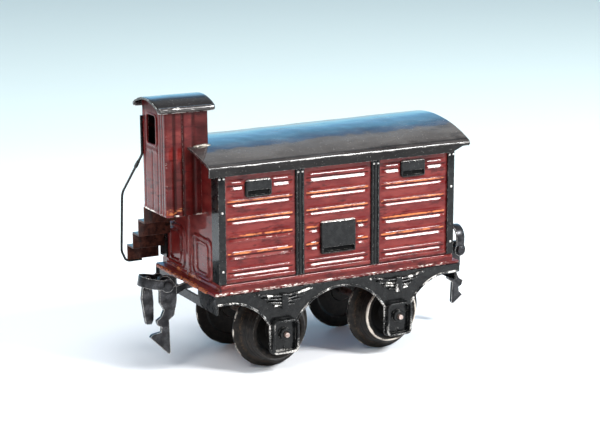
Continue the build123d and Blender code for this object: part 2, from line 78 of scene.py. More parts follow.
class Shader:
    """One node material. Its methods add a node and hand back the socket that carries the result."""

    def __init__(self, name):
        self.material = bpy.data.materials.new(name)
        self.material.use_nodes = True
        self.tree = self.material.node_tree
        self.surface = self.tree.nodes["Principled BSDF"]
        self.place = self.node("ShaderNodeTexCoord").outputs["Object"]

    def node(self, kind, **settings):
        made = self.tree.nodes.new(kind)
        for key, value in settings.items():
            setattr(made, key, value)
        return made

    def plug(self, socket, value):
        if isinstance(value, bpy.types.NodeSocket):
            self.tree.links.new(value, socket)
        else:
            socket.default_value = value

    def noise(self, size, detail=4.0, stretch=(1, 1, 1), seed=0.0, distortion=0.0):
        """Cloudy noise whose blotches are about size millimetres across, longer where stretch is more."""
        mapping = self.node("ShaderNodeMapping")
        self.plug(mapping.inputs["Vector"], self.place)
        mapping.inputs["Scale"].default_value = [1 / (MM * size * s) for s in stretch]
        mapping.inputs["Location"].default_value = (seed, seed * 1.7, seed * 2.3)
        cloud = self.node("ShaderNodeTexNoise")
        self.plug(cloud.inputs["Vector"], mapping.outputs[0])
        cloud.inputs["Scale"].default_value = 1.0
        cloud.inputs["Detail"].default_value = detail
        cloud.inputs["Roughness"].default_value = 0.6
        cloud.inputs["Distortion"].default_value = distortion
        return cloud.outputs["Fac"]

    def steps(self, value, low, high, out_low=0.0, out_high=1.0):
        """value eased from out_low at low to out_high at high."""
        ramp = self.node("ShaderNodeMapRange", interpolation_type="SMOOTHSTEP")
        for socket, given in zip(ramp.inputs, (value, low, high, out_low, out_high)):
            self.plug(socket, given)
        return ramp.outputs[0]

    def math(self, operation, a, b=0.0, clamp=False):
        made = self.node("ShaderNodeMath", operation=operation, use_clamp=clamp)
        self.plug(made.inputs[0], a)
        self.plug(made.inputs[1], b)
        return made.outputs[0]

    def mix(self, share, a, b, kind="RGBA", first=6, result=2):
        """From a to b by a share, for colours."""
        made = self.node("ShaderNodeMix", data_type=kind)
        for key, value in (("Factor", share), (first, a), (first + 1, b)):
            self.plug(made.inputs[key], value)
        return made.outputs[result]

    def blend(self, share, a, b):
        """The same for plain numbers."""
        return self.mix(share, a, b, "FLOAT", 2, 0)

    def paint(self):
        """The mesh's own channels: thin lacquer, bare metal that in places is a painted highlight, and grime
        that in places is painted shade.
        """
        split = self.node("ShaderNodeSeparateColor")
        self.plug(split.inputs[0], self.node("ShaderNodeAttribute", attribute_name="paint").outputs["Color"])
        return split.outputs[0], split.outputs[1], split.outputs[2]

    def edges(self, radius):
        """1 on the sharp convex and concave edges, 0 on open faces."""
        bevel = self.node("ShaderNodeBevel", samples=4)
        bevel.inputs["Radius"].default_value = radius * MM
        normal = self.node("ShaderNodeNewGeometry").outputs["Normal"]
        dot = self.node("ShaderNodeVectorMath", operation="DOT_PRODUCT")
        self.plug(dot.inputs[0], bevel.outputs[0])
        self.plug(dot.inputs[1], normal)
        return self.steps(dot.outputs["Value"], 0.985, 0.90)

    def bump(self, height, depth, normal=None):
        """A bump of that depth in millimetres, on top of another bump if one is given."""
        made = self.node("ShaderNodeBump")
        made.inputs["Distance"].default_value = depth * MM
        self.plug(made.inputs["Height"], height)
        if normal is not None:
            self.plug(made.inputs["Normal"], normal)
        return made.outputs[0]

    def along(self, vector, share_x, share_y):
        """How far a vector goes along a level direction."""
        axes = self.node("ShaderNodeSeparateXYZ")
        self.plug(axes.inputs[0], vector)
        return self.math("ADD", self.math("MULTIPLY", axes.outputs[0], share_x),
                         self.math("MULTIPLY", axes.outputs[1], share_y))

    def close(self, **inputs):
        for name, value in inputs.items():
            self.plug(self.surface.inputs[name.replace("_", " ")], value)
        return self.material


def lacquer(name, main, pale, deep, gold, metal_and_highlight, grime_and_shade, gloss, seed, stretch=(1, 1, 1), edge_wear=0.6,
            blotch=3.0, coat=0.8, film=1.2, specks=0.78, dents=0.06):
    """Old spirit lacquer over tinplate: cloudy colour, thin golden places, bare metal and dirt, with painted
    highlights and painted shade.
    """
    main, pale, deep, gold, metal_and_highlight, grime_and_shade = (rgb(*shown) for shown in (main, pale, deep, gold, metal_and_highlight, grime_and_shade))
    s = Shader(name)
    thin, bare_and_highlight, dirt_and_shade = s.paint()
    cloud = s.noise(blotch, 5, stretch, seed)
    fine = s.noise(0.35, 3, stretch, seed + 3)
    speck = s.noise(0.28, 2, seed=seed + 5)
    colour = s.mix(s.steps(cloud, 0.42, 0.62), main, pale)
    colour = s.mix(s.steps(s.noise(blotch * 0.6, 4, stretch, seed + 9), 0.52, 0.70), colour, deep)
    colour = s.mix(s.steps(fine, 0.35, 0.75, 0.0, 0.22), colour, pale)
    dirt_and_shade = s.math("MULTIPLY", dirt_and_shade, s.steps(cloud, 0.25, 0.55, 0.6, 1.0))
    # grime, and painted shade where a mesh darkens its creases, recesses and the places under overhangs
    colour = s.mix(dirt_and_shade, colour, grime_and_shade)
    thin = s.steps(s.math("ADD", thin, s.math("MULTIPLY", s.math("SUBTRACT", fine, 0.5), 1.5)), 0.35, 0.75)
    colour = s.mix(thin, colour, gold)
    worn = s.math("MULTIPLY", s.edges(0.12),
                  s.steps(s.noise(1.1, 4, seed=seed + 7), 0.42, 0.62, 0.0, edge_wear))
    bare_and_highlight = s.math("ADD", bare_and_highlight, s.math("MULTIPLY", s.math("SUBTRACT", fine, 0.5), 1.2))
    worn = s.math("MAXIMUM", worn, s.steps(bare_and_highlight, 0.45, 0.7))
    worn = s.math("MAXIMUM", worn, s.steps(speck, specks, specks + 0.04, 0.0, 0.8))
    # bare metal: wear, and painted highlights where a mesh bares crests, rims and top edges
    colour = s.mix(worn, colour, metal_and_highlight)
    rough = s.blend(s.steps(cloud, 0.3, 0.7), gloss, gloss + 0.14)
    rough = s.blend(worn, s.blend(dirt_and_shade, rough, 0.6), 0.32)
    normal = s.bump(s.noise(1.6, 3, seed=seed + 11), dents)
    normal = s.bump(fine, 0.012, normal)
    return s.close(Base_Color=colour, Roughness=rough, Metallic=s.math("MULTIPLY", worn, 0.7), Normal=normal,
                   Specular_IOR_Level=0.09, Coat_Weight=s.blend(s.math("MAXIMUM", worn, dirt_and_shade), coat, 0.0),
                   Coat_Roughness=0.06, Coat_IOR=film)


# ---- meshes ----

# A shape is its points, its faces and, for some, marks for each point: how thin the lacquer is, how bare the
# metal (in places a painted highlight), how thick the grime (in places painted shade), each from 0 to 1.
CLEAN = (0.0, 0.0, 0.0)


def painted(shape, rule):
    """A shape with its marks from a rule for each point, or with one mark all over."""
    return shape[0], shape[1], [rule(p) if callable(rule) else rule for p in shape[0]]


def piece(name, shape, slot, nodes=(), body="wagon", material=None, sharp=40):
    """A mesh object in metres from a shape in millimetres, riding on its body in place of CAD nodes."""
    points, faces, *paint_marks = shape
    mesh = bpy.data.meshes.new(name)
    mesh.from_pydata([[c * MM for c in p] for p in points], [], faces)
    if paint_marks:
        layer = mesh.color_attributes.new("paint", "FLOAT_COLOR", "POINT")
        layer.data.foreach_set("color", [c for row in paint_marks[0] for c in (*row, 1.0)])
    solid = bmesh.new()
    solid.from_mesh(mesh)
    bmesh.ops.remove_doubles(solid, verts=solid.verts, dist=0.001 * MM)
    bmesh.ops.recalc_face_normals(solid, faces=solid.faces)
    solid.to_mesh(mesh)
    solid.free()
    mesh.shade_smooth()
    mesh.set_sharp_from_angle(angle=radians(sharp))
    made = bpy.data.objects.new(name, mesh)
    bpy.context.collection.objects.link(made)
    mesh.materials.append(material or SLOTS[slot])
    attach(made, body)
    if nodes:
        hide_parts(*nodes)
    return made


def span(low, high, step, *stops):
    """Evenly spaced values from low to high, with each stop that lies between as a value too."""
    marks = sorted({low, high, *(s for s in stops if low < s < high)})
    values = [low]
    for start, end in zip(marks, marks[1:]):
        count = max(1, round((end - start) / step))
        values += [start + (end - start) * k / count for k in range(1, count + 1)]
    return values


def sheet(columns, rows, outer, inner, keep=None, closed=False, colour=None, inside=CLEAN):
    """A sheet with thickness: outer(u, v) and inner(u, v) are its two skins, colour(u, v) its marks.
    Cells for which keep(u, v) is false at their middle are left out, and every rim is closed."""
    grid = [(u, v) for u in columns for v in rows]
    points = [outer(u, v) for u, v in grid] + [inner(u, v) for u, v in grid]
    paint = [colour(u, v) if colour else CLEAN for u, v in grid] + [inside] * len(grid)
    tall, back = len(rows), len(grid)
    wide = len(columns) if closed else len(columns) - 1

    def kept(i, j):
        i = i % wide if closed else i
        if not (0 <= i < wide and 0 <= j < tall - 1):
            return False
        after = columns[i + 1] if i + 1 < len(columns) else 2 * columns[i] - columns[i - 1]
        return keep is None or keep((columns[i] + after) / 2, (rows[j] + rows[j + 1]) / 2)

    faces = []
    for i in range(wide):
        for j in range(tall - 1):
            if not kept(i, j):
                continue
            after = (i + 1) % len(columns)
            a, b, c, d = i * tall + j, after * tall + j, after * tall + j + 1, i * tall + j + 1
            faces += [(a, b, c, d), (d + back, c + back, b + back, a + back)]
            for p, q, di, dj in ((a, b, 0, -1), (b, c, 1, 0), (c, d, 0, 1), (d, a, -1, 0)):
                if not kept(i + di, j + dj):
                    faces.append((q, p, p + back, q + back))
    used = sorted({k for f in faces for k in f})
    place = {k: n for n, k in enumerate(used)}
    return [points[k] for k in used], [tuple(place[k] for k in f) for f in faces], [paint[k] for k in used]


def ring_faces(rings, around, closed=False):
    """Quads from each ring of points to the next, with a cap at both ends unless the rings close up."""
    total = rings * around
    faces = [] if closed else [tuple(range(around)), tuple(range(total - around, total))]
    for ring in range(rings if closed else rings - 1):
        for k in range(around):
            a, b = ring * around + k, ring * around + (k + 1) % around
            faces.append((a, b, (b + around) % total, (a + around) % total))
    return faces


def lathe(profile, centre, side, turns=96):
    """A closed profile of (radius, y) turned about the cross axis through centre (x, z)."""
    points = []
    for k in range(turns):
        angle = 2 * pi * k / turns
        points += [(centre[0] + r * cos(angle), side * y, centre[1] + r * sin(angle)) for r, y in profile]
    return points, ring_faces(turns, len(profile), closed=True)


def rounded(corners, arc_step=18):
    """An outline of (x, y, radius) corners with each one rounded."""
    outline = []
    for k, (x, y, radius) in enumerate(corners):
        here = Vector((x, y))
        back = Vector(corners[k - 1][:2]) - here
        ahead = Vector(corners[(k + 1) % len(corners)][:2]) - here
        if radius <= 0:
            outline.append((x, y))
            continue
        turn = back.angle(ahead)
        reach = min(radius / tan(turn / 2), 0.49 * back.length, 0.49 * ahead.length)
        radius = reach * tan(turn / 2)
        back.normalize()
        ahead.normalize()
        middle = here + (back + ahead).normalized() * (radius / sin(turn / 2))
        start, end = here + back * reach - middle, here + ahead * reach - middle
        sweep = start.angle_signed(end)
        count = max(2, round(degrees(abs(sweep)) / arc_step))
        for step in range(count + 1):
            angle = -sweep * step / count
            outline.append(tuple(middle + Vector((start.x * cos(angle) - start.y * sin(angle),
                                                  start.x * sin(angle) + start.y * cos(angle)))))
    return outline


def framed(x_low, x_high, z_low, z_high, radius, grow=0.0):
    """A rectangle's outline with rounded corners, moved outward by grow."""
    a, b, c, d = x_low - grow, x_high + grow, z_low - grow, z_high + grow
    return rounded([(a, c, radius), (b, c, radius), (b, d, radius), (a, d, radius)])


def circle(x, y, radius, count=24):
    turns = [2 * pi * k / count for k in range(count)]
    return [(x + radius * cos(turn), y + radius * sin(turn)) for turn in turns]


def plate(outlines, low, high, bevel=0.12, axis="y"):
    """A flat plate with softened edges, between two levels along an axis.
    The first outline is its edge and the others are holes, in (x, z), or (y, z) for the x axis."""
    curve = bpy.data.curves.new("outline", "CURVE")
    curve.dimensions, curve.fill_mode = "2D", "BOTH"
    curve.extrude, curve.bevel_depth = (high - low) / 2 - bevel, bevel
    curve.bevel_resolution, curve.offset = 2, -bevel
    for outline in outlines:
        spline = curve.splines.new("POLY")
        spline.points.add(len(outline) - 1)
        for point, (x, y) in zip(spline.points, outline):
            point.co = (x, y, 0, 1)
        spline.use_cyclic_u = True
    holder = bpy.data.objects.new("outline", curve)
    mesh = bpy.data.meshes.new_from_object(holder)
    level = (low + high) / 2
    spots = [(v.co.x, v.co.y, level + v.co.z) for v in mesh.vertices]
    a, b, c = {"x": (2, 0, 1), "y": (0, 2, 1), "z": (0, 1, 2)}[axis]
    points = [(spot[a], spot[b], spot[c]) for spot in spots]
    faces = [tuple(f.vertices) for f in mesh.polygons]
    bpy.data.meshes.remove(mesh)
    bpy.data.objects.remove(holder)
    bpy.data.curves.remove(curve)
    return points, faces


def joined(*shapes):
    """Several shapes as one."""
    points, faces, paint = [], [], []
    for more_points, more_faces, *paint_marks in shapes:
        start = len(points)
        points += [tuple(p) for p in more_points]
        faces += [tuple(start + k for k in f) for f in more_faces]
        paint += paint_marks[0] if paint_marks else [CLEAN] * len(more_points)
    return points, faces, paint


def dome(x, y, z, radius, height, side):
    """A round rivet head that rises from a side face."""
    rings, turns = 4, 14
    points = []
    for ring in range(rings):
        tilt = pi / 2 * ring / (rings - 0.5)
        reach = radius * cos(tilt)
        for k in range(turns):
            spin = 2 * pi * k / turns
            points.append((x + reach * cos(spin), y + side * height * sin(tilt), z + reach * sin(spin)))
    return points, ring_faces(rings, turns)


def wave(x, y, z, size, seed=0.0):
    """Smooth noise from about -1 to 1, for dents and for breaking up wear."""
    return noise.noise(Vector((x / size + seed, y / size - seed, z / size + 2 * seed)))


def bump_of(offset, half, height):
    """Height of a half-round bead at an offset from its middle."""
    share = abs(offset) / half
    return height * sqrt(1 - share * share) if share < 1 else 0.0


def ease(value, low, high):
    """0 up to low, 1 from high on, with a soft change between."""
    share = min(max((value - low) / (high - low), 0.0), 1.0)
    return share * share * (3 - 2 * share)


def arc(start, middle, end, count=14):
    """Points on the circle through three (x, y) points, from start to end."""
    (ax, ay), (bx, by), (cx, cy) = start, middle, end
    d = 2 * (ax * (by - cy) + bx * (cy - ay) + cx * (ay - by))
    a2, b2, c2 = ax * ax + ay * ay, bx * bx + by * by, cx * cx + cy * cy
    x = (a2 * (by - cy) + b2 * (cy - ay) + c2 * (ay - by)) / d
    y = (a2 * (cx - bx) + b2 * (ax - cx) + c2 * (bx - ax)) / d
    radius = hypot(ax - x, ay - y)
    first = atan2(ay - y, ax - x)
    through = (atan2(by - y, bx - x) - first) % (2 * pi)
    last = (atan2(cy - y, cx - x) - first) % (2 * pi)
    sweep = last if through < last else last - 2 * pi
    turns = [first + sweep * k / count for k in range(count + 1)]
    return [(x + radius * cos(turn), y + radius * sin(turn)) for turn in turns]


def bead(start, end, radius, count=24, sides=14, lump=0.0):
    """A straight round bead with rounded ends."""
    start, end = Vector(start), Vector(end)
    length = (end - start).length
    caps = [radius * (1 - cos(pi / 2 * k / 5)) for k in range(6)]
    marks = caps + [radius + (length - 2 * radius) * k / count for k in range(1, count)]
    marks += [length - c for c in reversed(caps)]
    route = [start.lerp(end, m / length) for m in marks]
    sizes = [sqrt(max(radius ** 2 - max(radius - m, radius - length + m, 0) ** 2, 0.0004)) for m in marks]
    sizes = [s * (1 + lump * wave(p.x, p.y, p.z, 2.2, 4)) for s, p in zip(sizes, route)]
    return swept(route, sizes, sides)


def swept(route, sizes, sides=12):
    """A round bar along the route's points, of a radius for each point."""
    points = []
    normal = None
    for k, here in enumerate(route):
        along = (route[min(k + 1, len(route) - 1)] - route[max(k - 1, 0)]).normalized()
        if normal is None:
            normal = along.cross(Vector((0, 0, 1)) if abs(along.z) < 0.9 else Vector((0, 1, 0)))
        normal = (normal - along * normal.dot(along)).normalized()
        other = along.cross(normal)
        for s in range(sides):
            angle = 2 * pi * s / sides
            points.append(here + (normal * cos(angle) + other * sin(angle)) * sizes[k])
    return points, ring_faces(len(route), sides)


# ---- materials ----

def steel(name, bright, dull, rust, gloss, seed):
    """Bare worked steel, dulled in patches, with rust in its pits."""
    bright, dull, rust = rgb(*bright), rgb(*dull), rgb(*rust)
    s = Shader(name)
    cloud = s.noise(2.4, 5, seed=seed)
    fine = s.noise(0.4, 4, seed=seed + 2)
    colour = s.mix(s.steps(cloud, 0.35, 0.65), bright, dull)
    worn = s.math("MULTIPLY", s.edges(0.3), s.steps(fine, 0.3, 0.5))
    pits = s.steps(s.noise(0.7, 5, seed=seed + 5), 0.58, 0.70)
    colour = s.mix(pits, s.mix(worn, colour, rgb(225, 222, 216)), rust)
    rough = s.blend(pits, s.blend(s.steps(cloud, 0.3, 0.7), gloss, gloss + 0.16), 0.7)
    normal = s.bump(fine, 0.03, s.bump(s.noise(1.3, 3, seed=seed + 7), 0.08))
    return s.close(Base_Color=colour, Roughness=rough, Metallic=s.blend(pits, 0.85, 0.2), Normal=normal)


SLOTS = {
    "body_red": lacquer("red_lacquer", main=(93, 18, 18), pale=(114, 40, 36), deep=(62, 4, 5),
                        gold=(192, 112, 66), metal_and_highlight=(236, 226, 216), grime_and_shade=(20, 8, 7), gloss=0.26, seed=2.0,
                        stretch=(3, 3, 1), dents=0.03, film=1.3),
    "roof_black": lacquer("roof_lacquer", main=(46, 43, 42), pale=(64, 61, 59), deep=(33, 31, 31),
                          gold=(120, 110, 98), metal_and_highlight=(226, 222, 216), grime_and_shade=(12, 11, 11), gloss=0.16,
                          seed=11.0, stretch=(4.0, 1.5, 1.5), edge_wear=0.8, blotch=5.0, coat=1.0, film=1.4,
                          specks=0.70, dents=0.03),
    "trim_black": lacquer("trim_lacquer", main=(11, 12, 13), pale=(27, 28, 28), deep=(5, 5, 6),
                          gold=(110, 92, 78), metal_and_highlight=(226, 222, 216), grime_and_shade=(4, 4, 4), gloss=0.22, seed=23.0,
                          blotch=2.2, coat=1.0, film=1.22, specks=0.74),
    "stair_brown": lacquer("stair_lacquer", main=(46, 24, 20), pale=(76, 42, 33), deep=(22, 11, 9),
                           gold=(206, 120, 66), metal_and_highlight=(214, 132, 80), grime_and_shade=(12, 8, 7), gloss=0.3,
                           seed=31.0, edge_wear=0.95, blotch=2.5),
    "wheel_iron": lacquer("wheel_iron", main=(22, 20, 19), pale=(39, 34, 30), deep=(11, 10, 9),
                          gold=(84, 64, 44), metal_and_highlight=(210, 200, 188), grime_and_shade=(8, 7, 6), gloss=0.36, seed=43.0,
                          edge_wear=0.3, blotch=2.4, coat=0.4),
    "coupling_steel": steel("coupling_steel", (62, 62, 64), (33, 33, 35), (34, 25, 21), 0.24, 5.0),
    "axle_steel": steel("axle_steel", (196, 176, 168), (150, 128, 120), (110, 66, 52), 0.3, 8.0)}
solder_metal = steel("solder", (176, 168, 156), (120, 112, 102), (70, 58, 48), 0.35, 14.0)


# ---- places, from the CAD's boxes ----

FACE = -box("near_post_1")[1].y
PLINTH_TOP, POST_TOP = box("near_post_1")[0].z, box("near_post_1")[1].z
PANEL_LOW, PANEL_HIGH = box("near_side_panel")
FLOOR_LOW, FLOOR_TOP = box("floor_tray")[0].z, box("floor_tray")[1].z
POSTS = [box(f"near_post_{k}") for k in (1, 2)]
CORNERS = [box("near_cab_end_corner_post"), box("near_plain_end_corner_post")]
BAYS = [(CORNERS[0][1].x, POSTS[0][0].x), (POSTS[0][1].x, POSTS[1][0].x), (POSTS[1][1].x, CORNERS[1][0].x)]
SHEET = 0.6


# ---- side panels ----

# each raised pad with its corner radius and how far up its opening, painted dark as shade, reaches
PADS = {"vent_cab_end": (1.2, 2.3), "vent_plain_end": (1.2, 2.3), "hatch": (0.8, 2.2)}
PAD_BOXES = [box(f"near_{name}") for name in PADS]
RIB_FIRST, RIB_PITCH, RIB_COUNT = PLINTH_TOP + 2.4, 5.76, 6
# how cleanly each rib of each bay catches the light, from the lowest up
STREAKS = ((1.0, 0.75, 0.4, 1.0, 1.0, 0.9), (1.0, 0.8, 0.8, 1.0, 1.0, 1.0), (1.0,) * RIB_COUNT)
# where a rib's underside starts, where it peaks and where its upper face ends, and its height
RIB_FOOT, RIB_PEAK, RIB_TOP, RIB_STAND = -1.05, -0.35, 0.62, 0.56


def under_pad(x, z, margin=0.3):
    """Whether a place on the side is under a vent or hatch, or within a margin of one."""
    for low, high in PAD_BOXES:
        if low.x - margin < x < high.x + margin and low.z - margin < z < high.z + margin:
            return True
    return False


def row_of(z):
    """The nearest plank row and the height above its rib's middle."""
    row = min(max(round((z - RIB_FIRST - 0.6) / RIB_PITCH), 0), RIB_COUNT - 1)
    return row, z - RIB_FIRST - row * RIB_PITCH


def rib(offset, crisp):
    """Section of a plank rib: a steep underside and a flat upper face that leans back."""
    stand = RIB_STAND * (0.55 + 0.45 * crisp)
    if offset < RIB_PEAK:
        return stand * ease(offset, RIB_FOOT, RIB_PEAK + 0.15)
    if offset < RIB_TOP:
        return stand * (RIB_TOP - offset) / (RIB_TOP - RIB_PEAK) * 0.97
    return 0.0


def plank_height(x, z, side):
    """How far the pressed side stands out of its flat face."""
    stand = 0.5 * (1 - ease(z, PLINTH_TOP - 1.05, PLINTH_TOP - 0.5))
    stand += bump_of(z - PLINTH_TOP - 0.75, 0.5, 0.25)
    stand += 0.05 * wave(x, side, z, 11, 3)
    row, offset = row_of(z)
    for (start, end), streaks in zip(BAYS, STREAKS):
        room = min(x - start, end - x)
        if room > 0.6 and not under_pad(x, z):
            full = ease(room, 0.6, 2.6) * (0.97 + 0.05 * wave(x, side, 9 * row, 6, 1))
            stand += full * rib(offset, streaks[row])
            stand += full * bump_of(offset - 1.45, 0.5, 0.26) + full * bump_of(offset - 2.4, 0.35, 0.12)
    return stand


def plank_paint(x, z, side):
    """Marks of the pressed side: golden lines between planks, bare rib crests, plinth edge and foot that are
    partly painted highlights, painted shade in the grooves and above the plinth, dirt on the plinth face.
    """
    row, offset = row_of(z)
    thin = bare_and_highlight = dirt_and_shade = 0.0
    for start, end in BAYS:
        room = min(x - start, end - x)
        if room > 0.9 and not under_pad(x, z, 0.6):
            patch = 0.5 + 0.9 * wave(x, side, 5 * row, 3.0, 7)
            line = 1 - abs(offset - 1.5) / 0.42
            if 0 < row < RIB_COUNT - 1 and line > 0:
                thin = max(thin, (0.4 + 0.5 * patch) * min(1.0, 2 * line))
            # bare crests on the ribs, partly wear and partly a painted highlight
            top = 1 - abs(offset - 0.12) / 0.4
            if top > 0:
                bare_and_highlight = max(bare_and_highlight, (0.2 + 0.4 * patch) * top)
            # painted shade in the groove above each rib
            if abs(offset - 0.85) < 0.2:
                dirt_and_shade = 0.85
    # painted shade in the recess above the plinth
    if abs(z - PLINTH_TOP + 0.25) < 0.3:
        dirt_and_shade = 0.85
    # bare line on the plinth's edge, a painted highlight
    if abs(z - PLINTH_TOP + 1.0) < 0.2:
        bare_and_highlight = max(bare_and_highlight, 0.22 + 0.4 * wave(x, side, z, 6, 15))
    # bare foot along the floor edge, partly wear and partly a painted highlight; dirt on the plinth face
    # above it
    if z < FLOOR_TOP + 0.35:
        bare_and_highlight = max(bare_and_highlight, 0.2 + 0.5 * wave(x, side, z, 5, 5))
    elif z < PLINTH_TOP - 1.3:
        dirt_and_shade = max(dirt_and_shade, 0.35)
    return thin, bare_and_highlight, dirt_and_shade


for name, side in SIDES.items():
    bay_marks = [m for start, end in BAYS for m in (start + 0.6, start + 1.6, end - 1.6, end - 0.6)]
    shape = sheet(
        span(PANEL_LOW.x, PANEL_HIGH.x, 0.6, *bay_marks), span(FLOOR_TOP, PANEL_HIGH.z, 0.2),
        lambda x, z: (x, side * (FACE + plank_height(x, z, side)), z),
        lambda x, z: (x, side * (FACE - SHEET), z), colour=lambda x, z: plank_paint(x, z, side))
    piece(f"{name}_planks", shape, "body_red", [f"{name}_side_panel"])


# ---- vents and hatches ----

def corner_mapped(x, z, half_x, half_z, radius):
    """Where a point of a rectangle goes when the rectangle's corners are rounded."""
    p, q = abs(x) - half_x + radius, abs(z) - half_z + radius
    if p <= 0 or q <= 0:
        return x, z
    new_p = p * sqrt(1 - q * q / (2 * radius * radius))
    new_q = q * sqrt(1 - p * p / (2 * radius * radius))
    return (x + (new_p - p) * (1 if x > 0 else -1), z + (new_q - q) * (1 if z > 0 else -1))


def pad_piece(side_name, side, name, radius, band):
    """A pressed hood with an opening along its lower edge painted dark as shade, and a bare top edge as a
    painted highlight.
    """
    low, high = box(f"{side_name}_{name}")
    middle = (low + high) / 2
    half_x, half_z, stand = (high.x - low.x) / 2, (high.z - low.z) / 2, high.y - low.y
    band_low, band_high = -half_z + 0.55, -half_z + band

    def height(x, z):
        edge = min(half_x - abs(x), half_z - abs(z))
        full = stand * (0.35 + 0.65 * sqrt(1 - (1 - min(max(edge / 0.6, 0), 1)) ** 2))
        full -= 0.1 * ease(z, band_high, half_z)
        inside = ease(half_x - abs(x), 0.6, 0.85) * ease(z, band_low, band_low + 0.15)
        inside *= 1 - ease(z, band_high - 0.12, band_high + 0.04)
        return full - (full - 0.2) * inside, inside

    def skin(x, z, y):
        x2, z2 = corner_mapped(x, z, half_x, half_z, radius)
        return middle.x + x2, side * y, middle.z + z2

    # bare top edge as a painted highlight, a few chips, and painted shade in the opening
    def paint_marks(x, z):
        chips = 0.3 * (wave(x, z, 0, 0.7) > 0.45)
        return 0.0, 0.62 * ease(z, half_z - 0.55, half_z - 0.25) + chips, height(x, z)[1]

    shape = sheet(
        span(-half_x, half_x, 0.16), span(-half_z, half_z, 0.12, band_low, band_high),
        lambda x, z: skin(x, z, FACE + height(x, z)[0]), lambda x, z: skin(x, z, FACE - 0.05), colour=paint_marks)
    piece(f"{side_name}_{name}_hood", shape, "trim_black", [f"{side_name}_{name}"])


for side_name, side in SIDES.items():
    for name, (radius, band) in PADS.items():
        pad_piece(side_name, side, name, radius, band)


# ---- posts ----

RIVET = (0.42, 0.38)  # radius and height of the small rivet heads
GROOVE_OFF = 0.62
ANGLE_STAND = 0.8  # how far a corner post stands out of the flat face


def post_height(offset, half, stand):
    """Profile of a post: rounded shoulders and two grooves."""
    edge = half - abs(offset)
    full = stand * sqrt(1 - (1 - min(max(edge / 0.35, 0), 1)) ** 2)
    return full - bump_of(abs(offset) - GROOVE_OFF, 0.28, 0.24)


for side_name, side in SIDES.items():
    for number, (low, high) in enumerate(POSTS, start=1):
        middle, half = (low.x + high.x) / 2, (high.x - low.x) / 2
        stand = high.y - low.y
        strip = sheet(
            span(-half, half, 0.1), span(low.z, high.z, 1.5),
            lambda u, z: (middle + u + 0.06 * wave(0, z, side, 9),
                          side * (FACE + post_height(u, half, stand)), z),
            lambda u, z: (middle + u, side * (FACE - 0.05), z),
            # painted shade in the two grooves
            colour=lambda u, z: (0.0, 0.0, 0.8 * (bump_of(abs(u) - GROOVE_OFF, 0.25, 1) > 0.3)))
        heads = [painted(dome(middle + shift, side * (FACE + stand - 0.1), PANEL_HIGH.z - 4.9, *RIVET, side),
                         (0.0, 0.75, 0.0)) for shift in (-0.8, 0.8)]
        piece(f"{side_name}_grooved_post_{number}", joined(strip, *heads), "trim_black",
              [f"{side_name}_post_{number}"])
    for end_name, end in ENDS.items():
        node = f"{side_name}_{end_name}_corner_post"
        low, high = box(node)
        if end < 0:
            face_x, inner_y = PANEL_LOW.x, min(abs(low.y), abs(high.y))
            outline = [(low.x, FACE + ANGLE_STAND), (high.x, FACE + ANGLE_STAND), (high.x, FACE),
                       (face_x, FACE), (face_x, inner_y), (low.x, inner_y)]
        else:
            outline = [(low.x, FACE), (high.x, FACE), (high.x, FACE + ANGLE_STAND),
                       (low.x, FACE + ANGLE_STAND)]
        strip = plate([[(x, side * y) for x, y in outline]], low.z, high.z, 0.14, "z")
        # two rivets at the top, and one at each of two lower places
        heads = [painted(dome((low.x + high.x) / 2 + shift, side * (FACE + 0.75), PANEL_HIGH.z - down,
                              *RIVET, side), (0.0, 0.7, 0.0))
                 for down, shift in ((4.6, -0.75), (4.6, 0.75), (15.8, 0.1), (35.2, 0.1))]
        piece(f"{node}_angle", joined(strip, *heads), "trim_black", [node])


# ---- end panels ----

BAR_Y, BAR_HALF, BAR_END = 1.5, 0.85, 6.5  # middle bar: place, half width, length above the rings
RING_TOP = {-1: 46.0, 1: 66.0}  # the rings stay under the cab at its end
RING_NEAR, RING_WIDE, RING_INSET = 3.5, 18.4, 3.1


def ring_distance(y, z, y_low, y_high, z_low, z_high, radius):
    """Signed distance to a rounded rectangle's outline."""
    p = abs(y - (y_low + y_high) / 2) - (y_high - y_low) / 2 + radius
    q = abs(z - (z_low + z_high) / 2) - (z_high - z_low) / 2 + radius
    return hypot(max(p, 0), max(q, 0)) + min(max(p, q), 0) - radius


def end_rings(y, z, end):
    """Distance to the outer and the inner pressed ring, for each half of an end panel."""
    for side in (-1, 1):
        y_low, y_high = sorted((BAR_Y + side * RING_NEAR, BAR_Y + side * RING_WIDE))
        yield (ring_distance(y, z, y_low, y_high, FLOOR_TOP + 2.1, RING_TOP[end], 2.6),
               ring_distance(y, z, y_low + RING_INSET, y_high - RING_INSET, FLOOR_TOP + 3.6,
                             RING_TOP[end] - 1.8, 1.8))


def end_height(y, z, end):
    """Relief of an end panel: a middle bar, and two panels each with two pressed rings."""
    bar_end = RING_TOP[end] + BAR_END
    stand = 0.5 * (1 - ease(abs(y - BAR_Y), BAR_HALF, BAR_HALF + 0.25))
    stand *= 1 - ease(z, bar_end, bar_end + 0.7)
    for outer, inner in end_rings(y, z, end):
        stand += bump_of(outer, 0.55, 0.45) + bump_of(inner, 0.5, 0.4)
        if outer < 0 < inner:
            stand += 0.08
    foot = bump_of(z - FLOOR_TOP - 0.6, 0.7, 0.45) * ease(FACE - 2 - abs(y), 0, 1.5)
    return stand + foot + 0.05 * wave(y, z, end, 9)


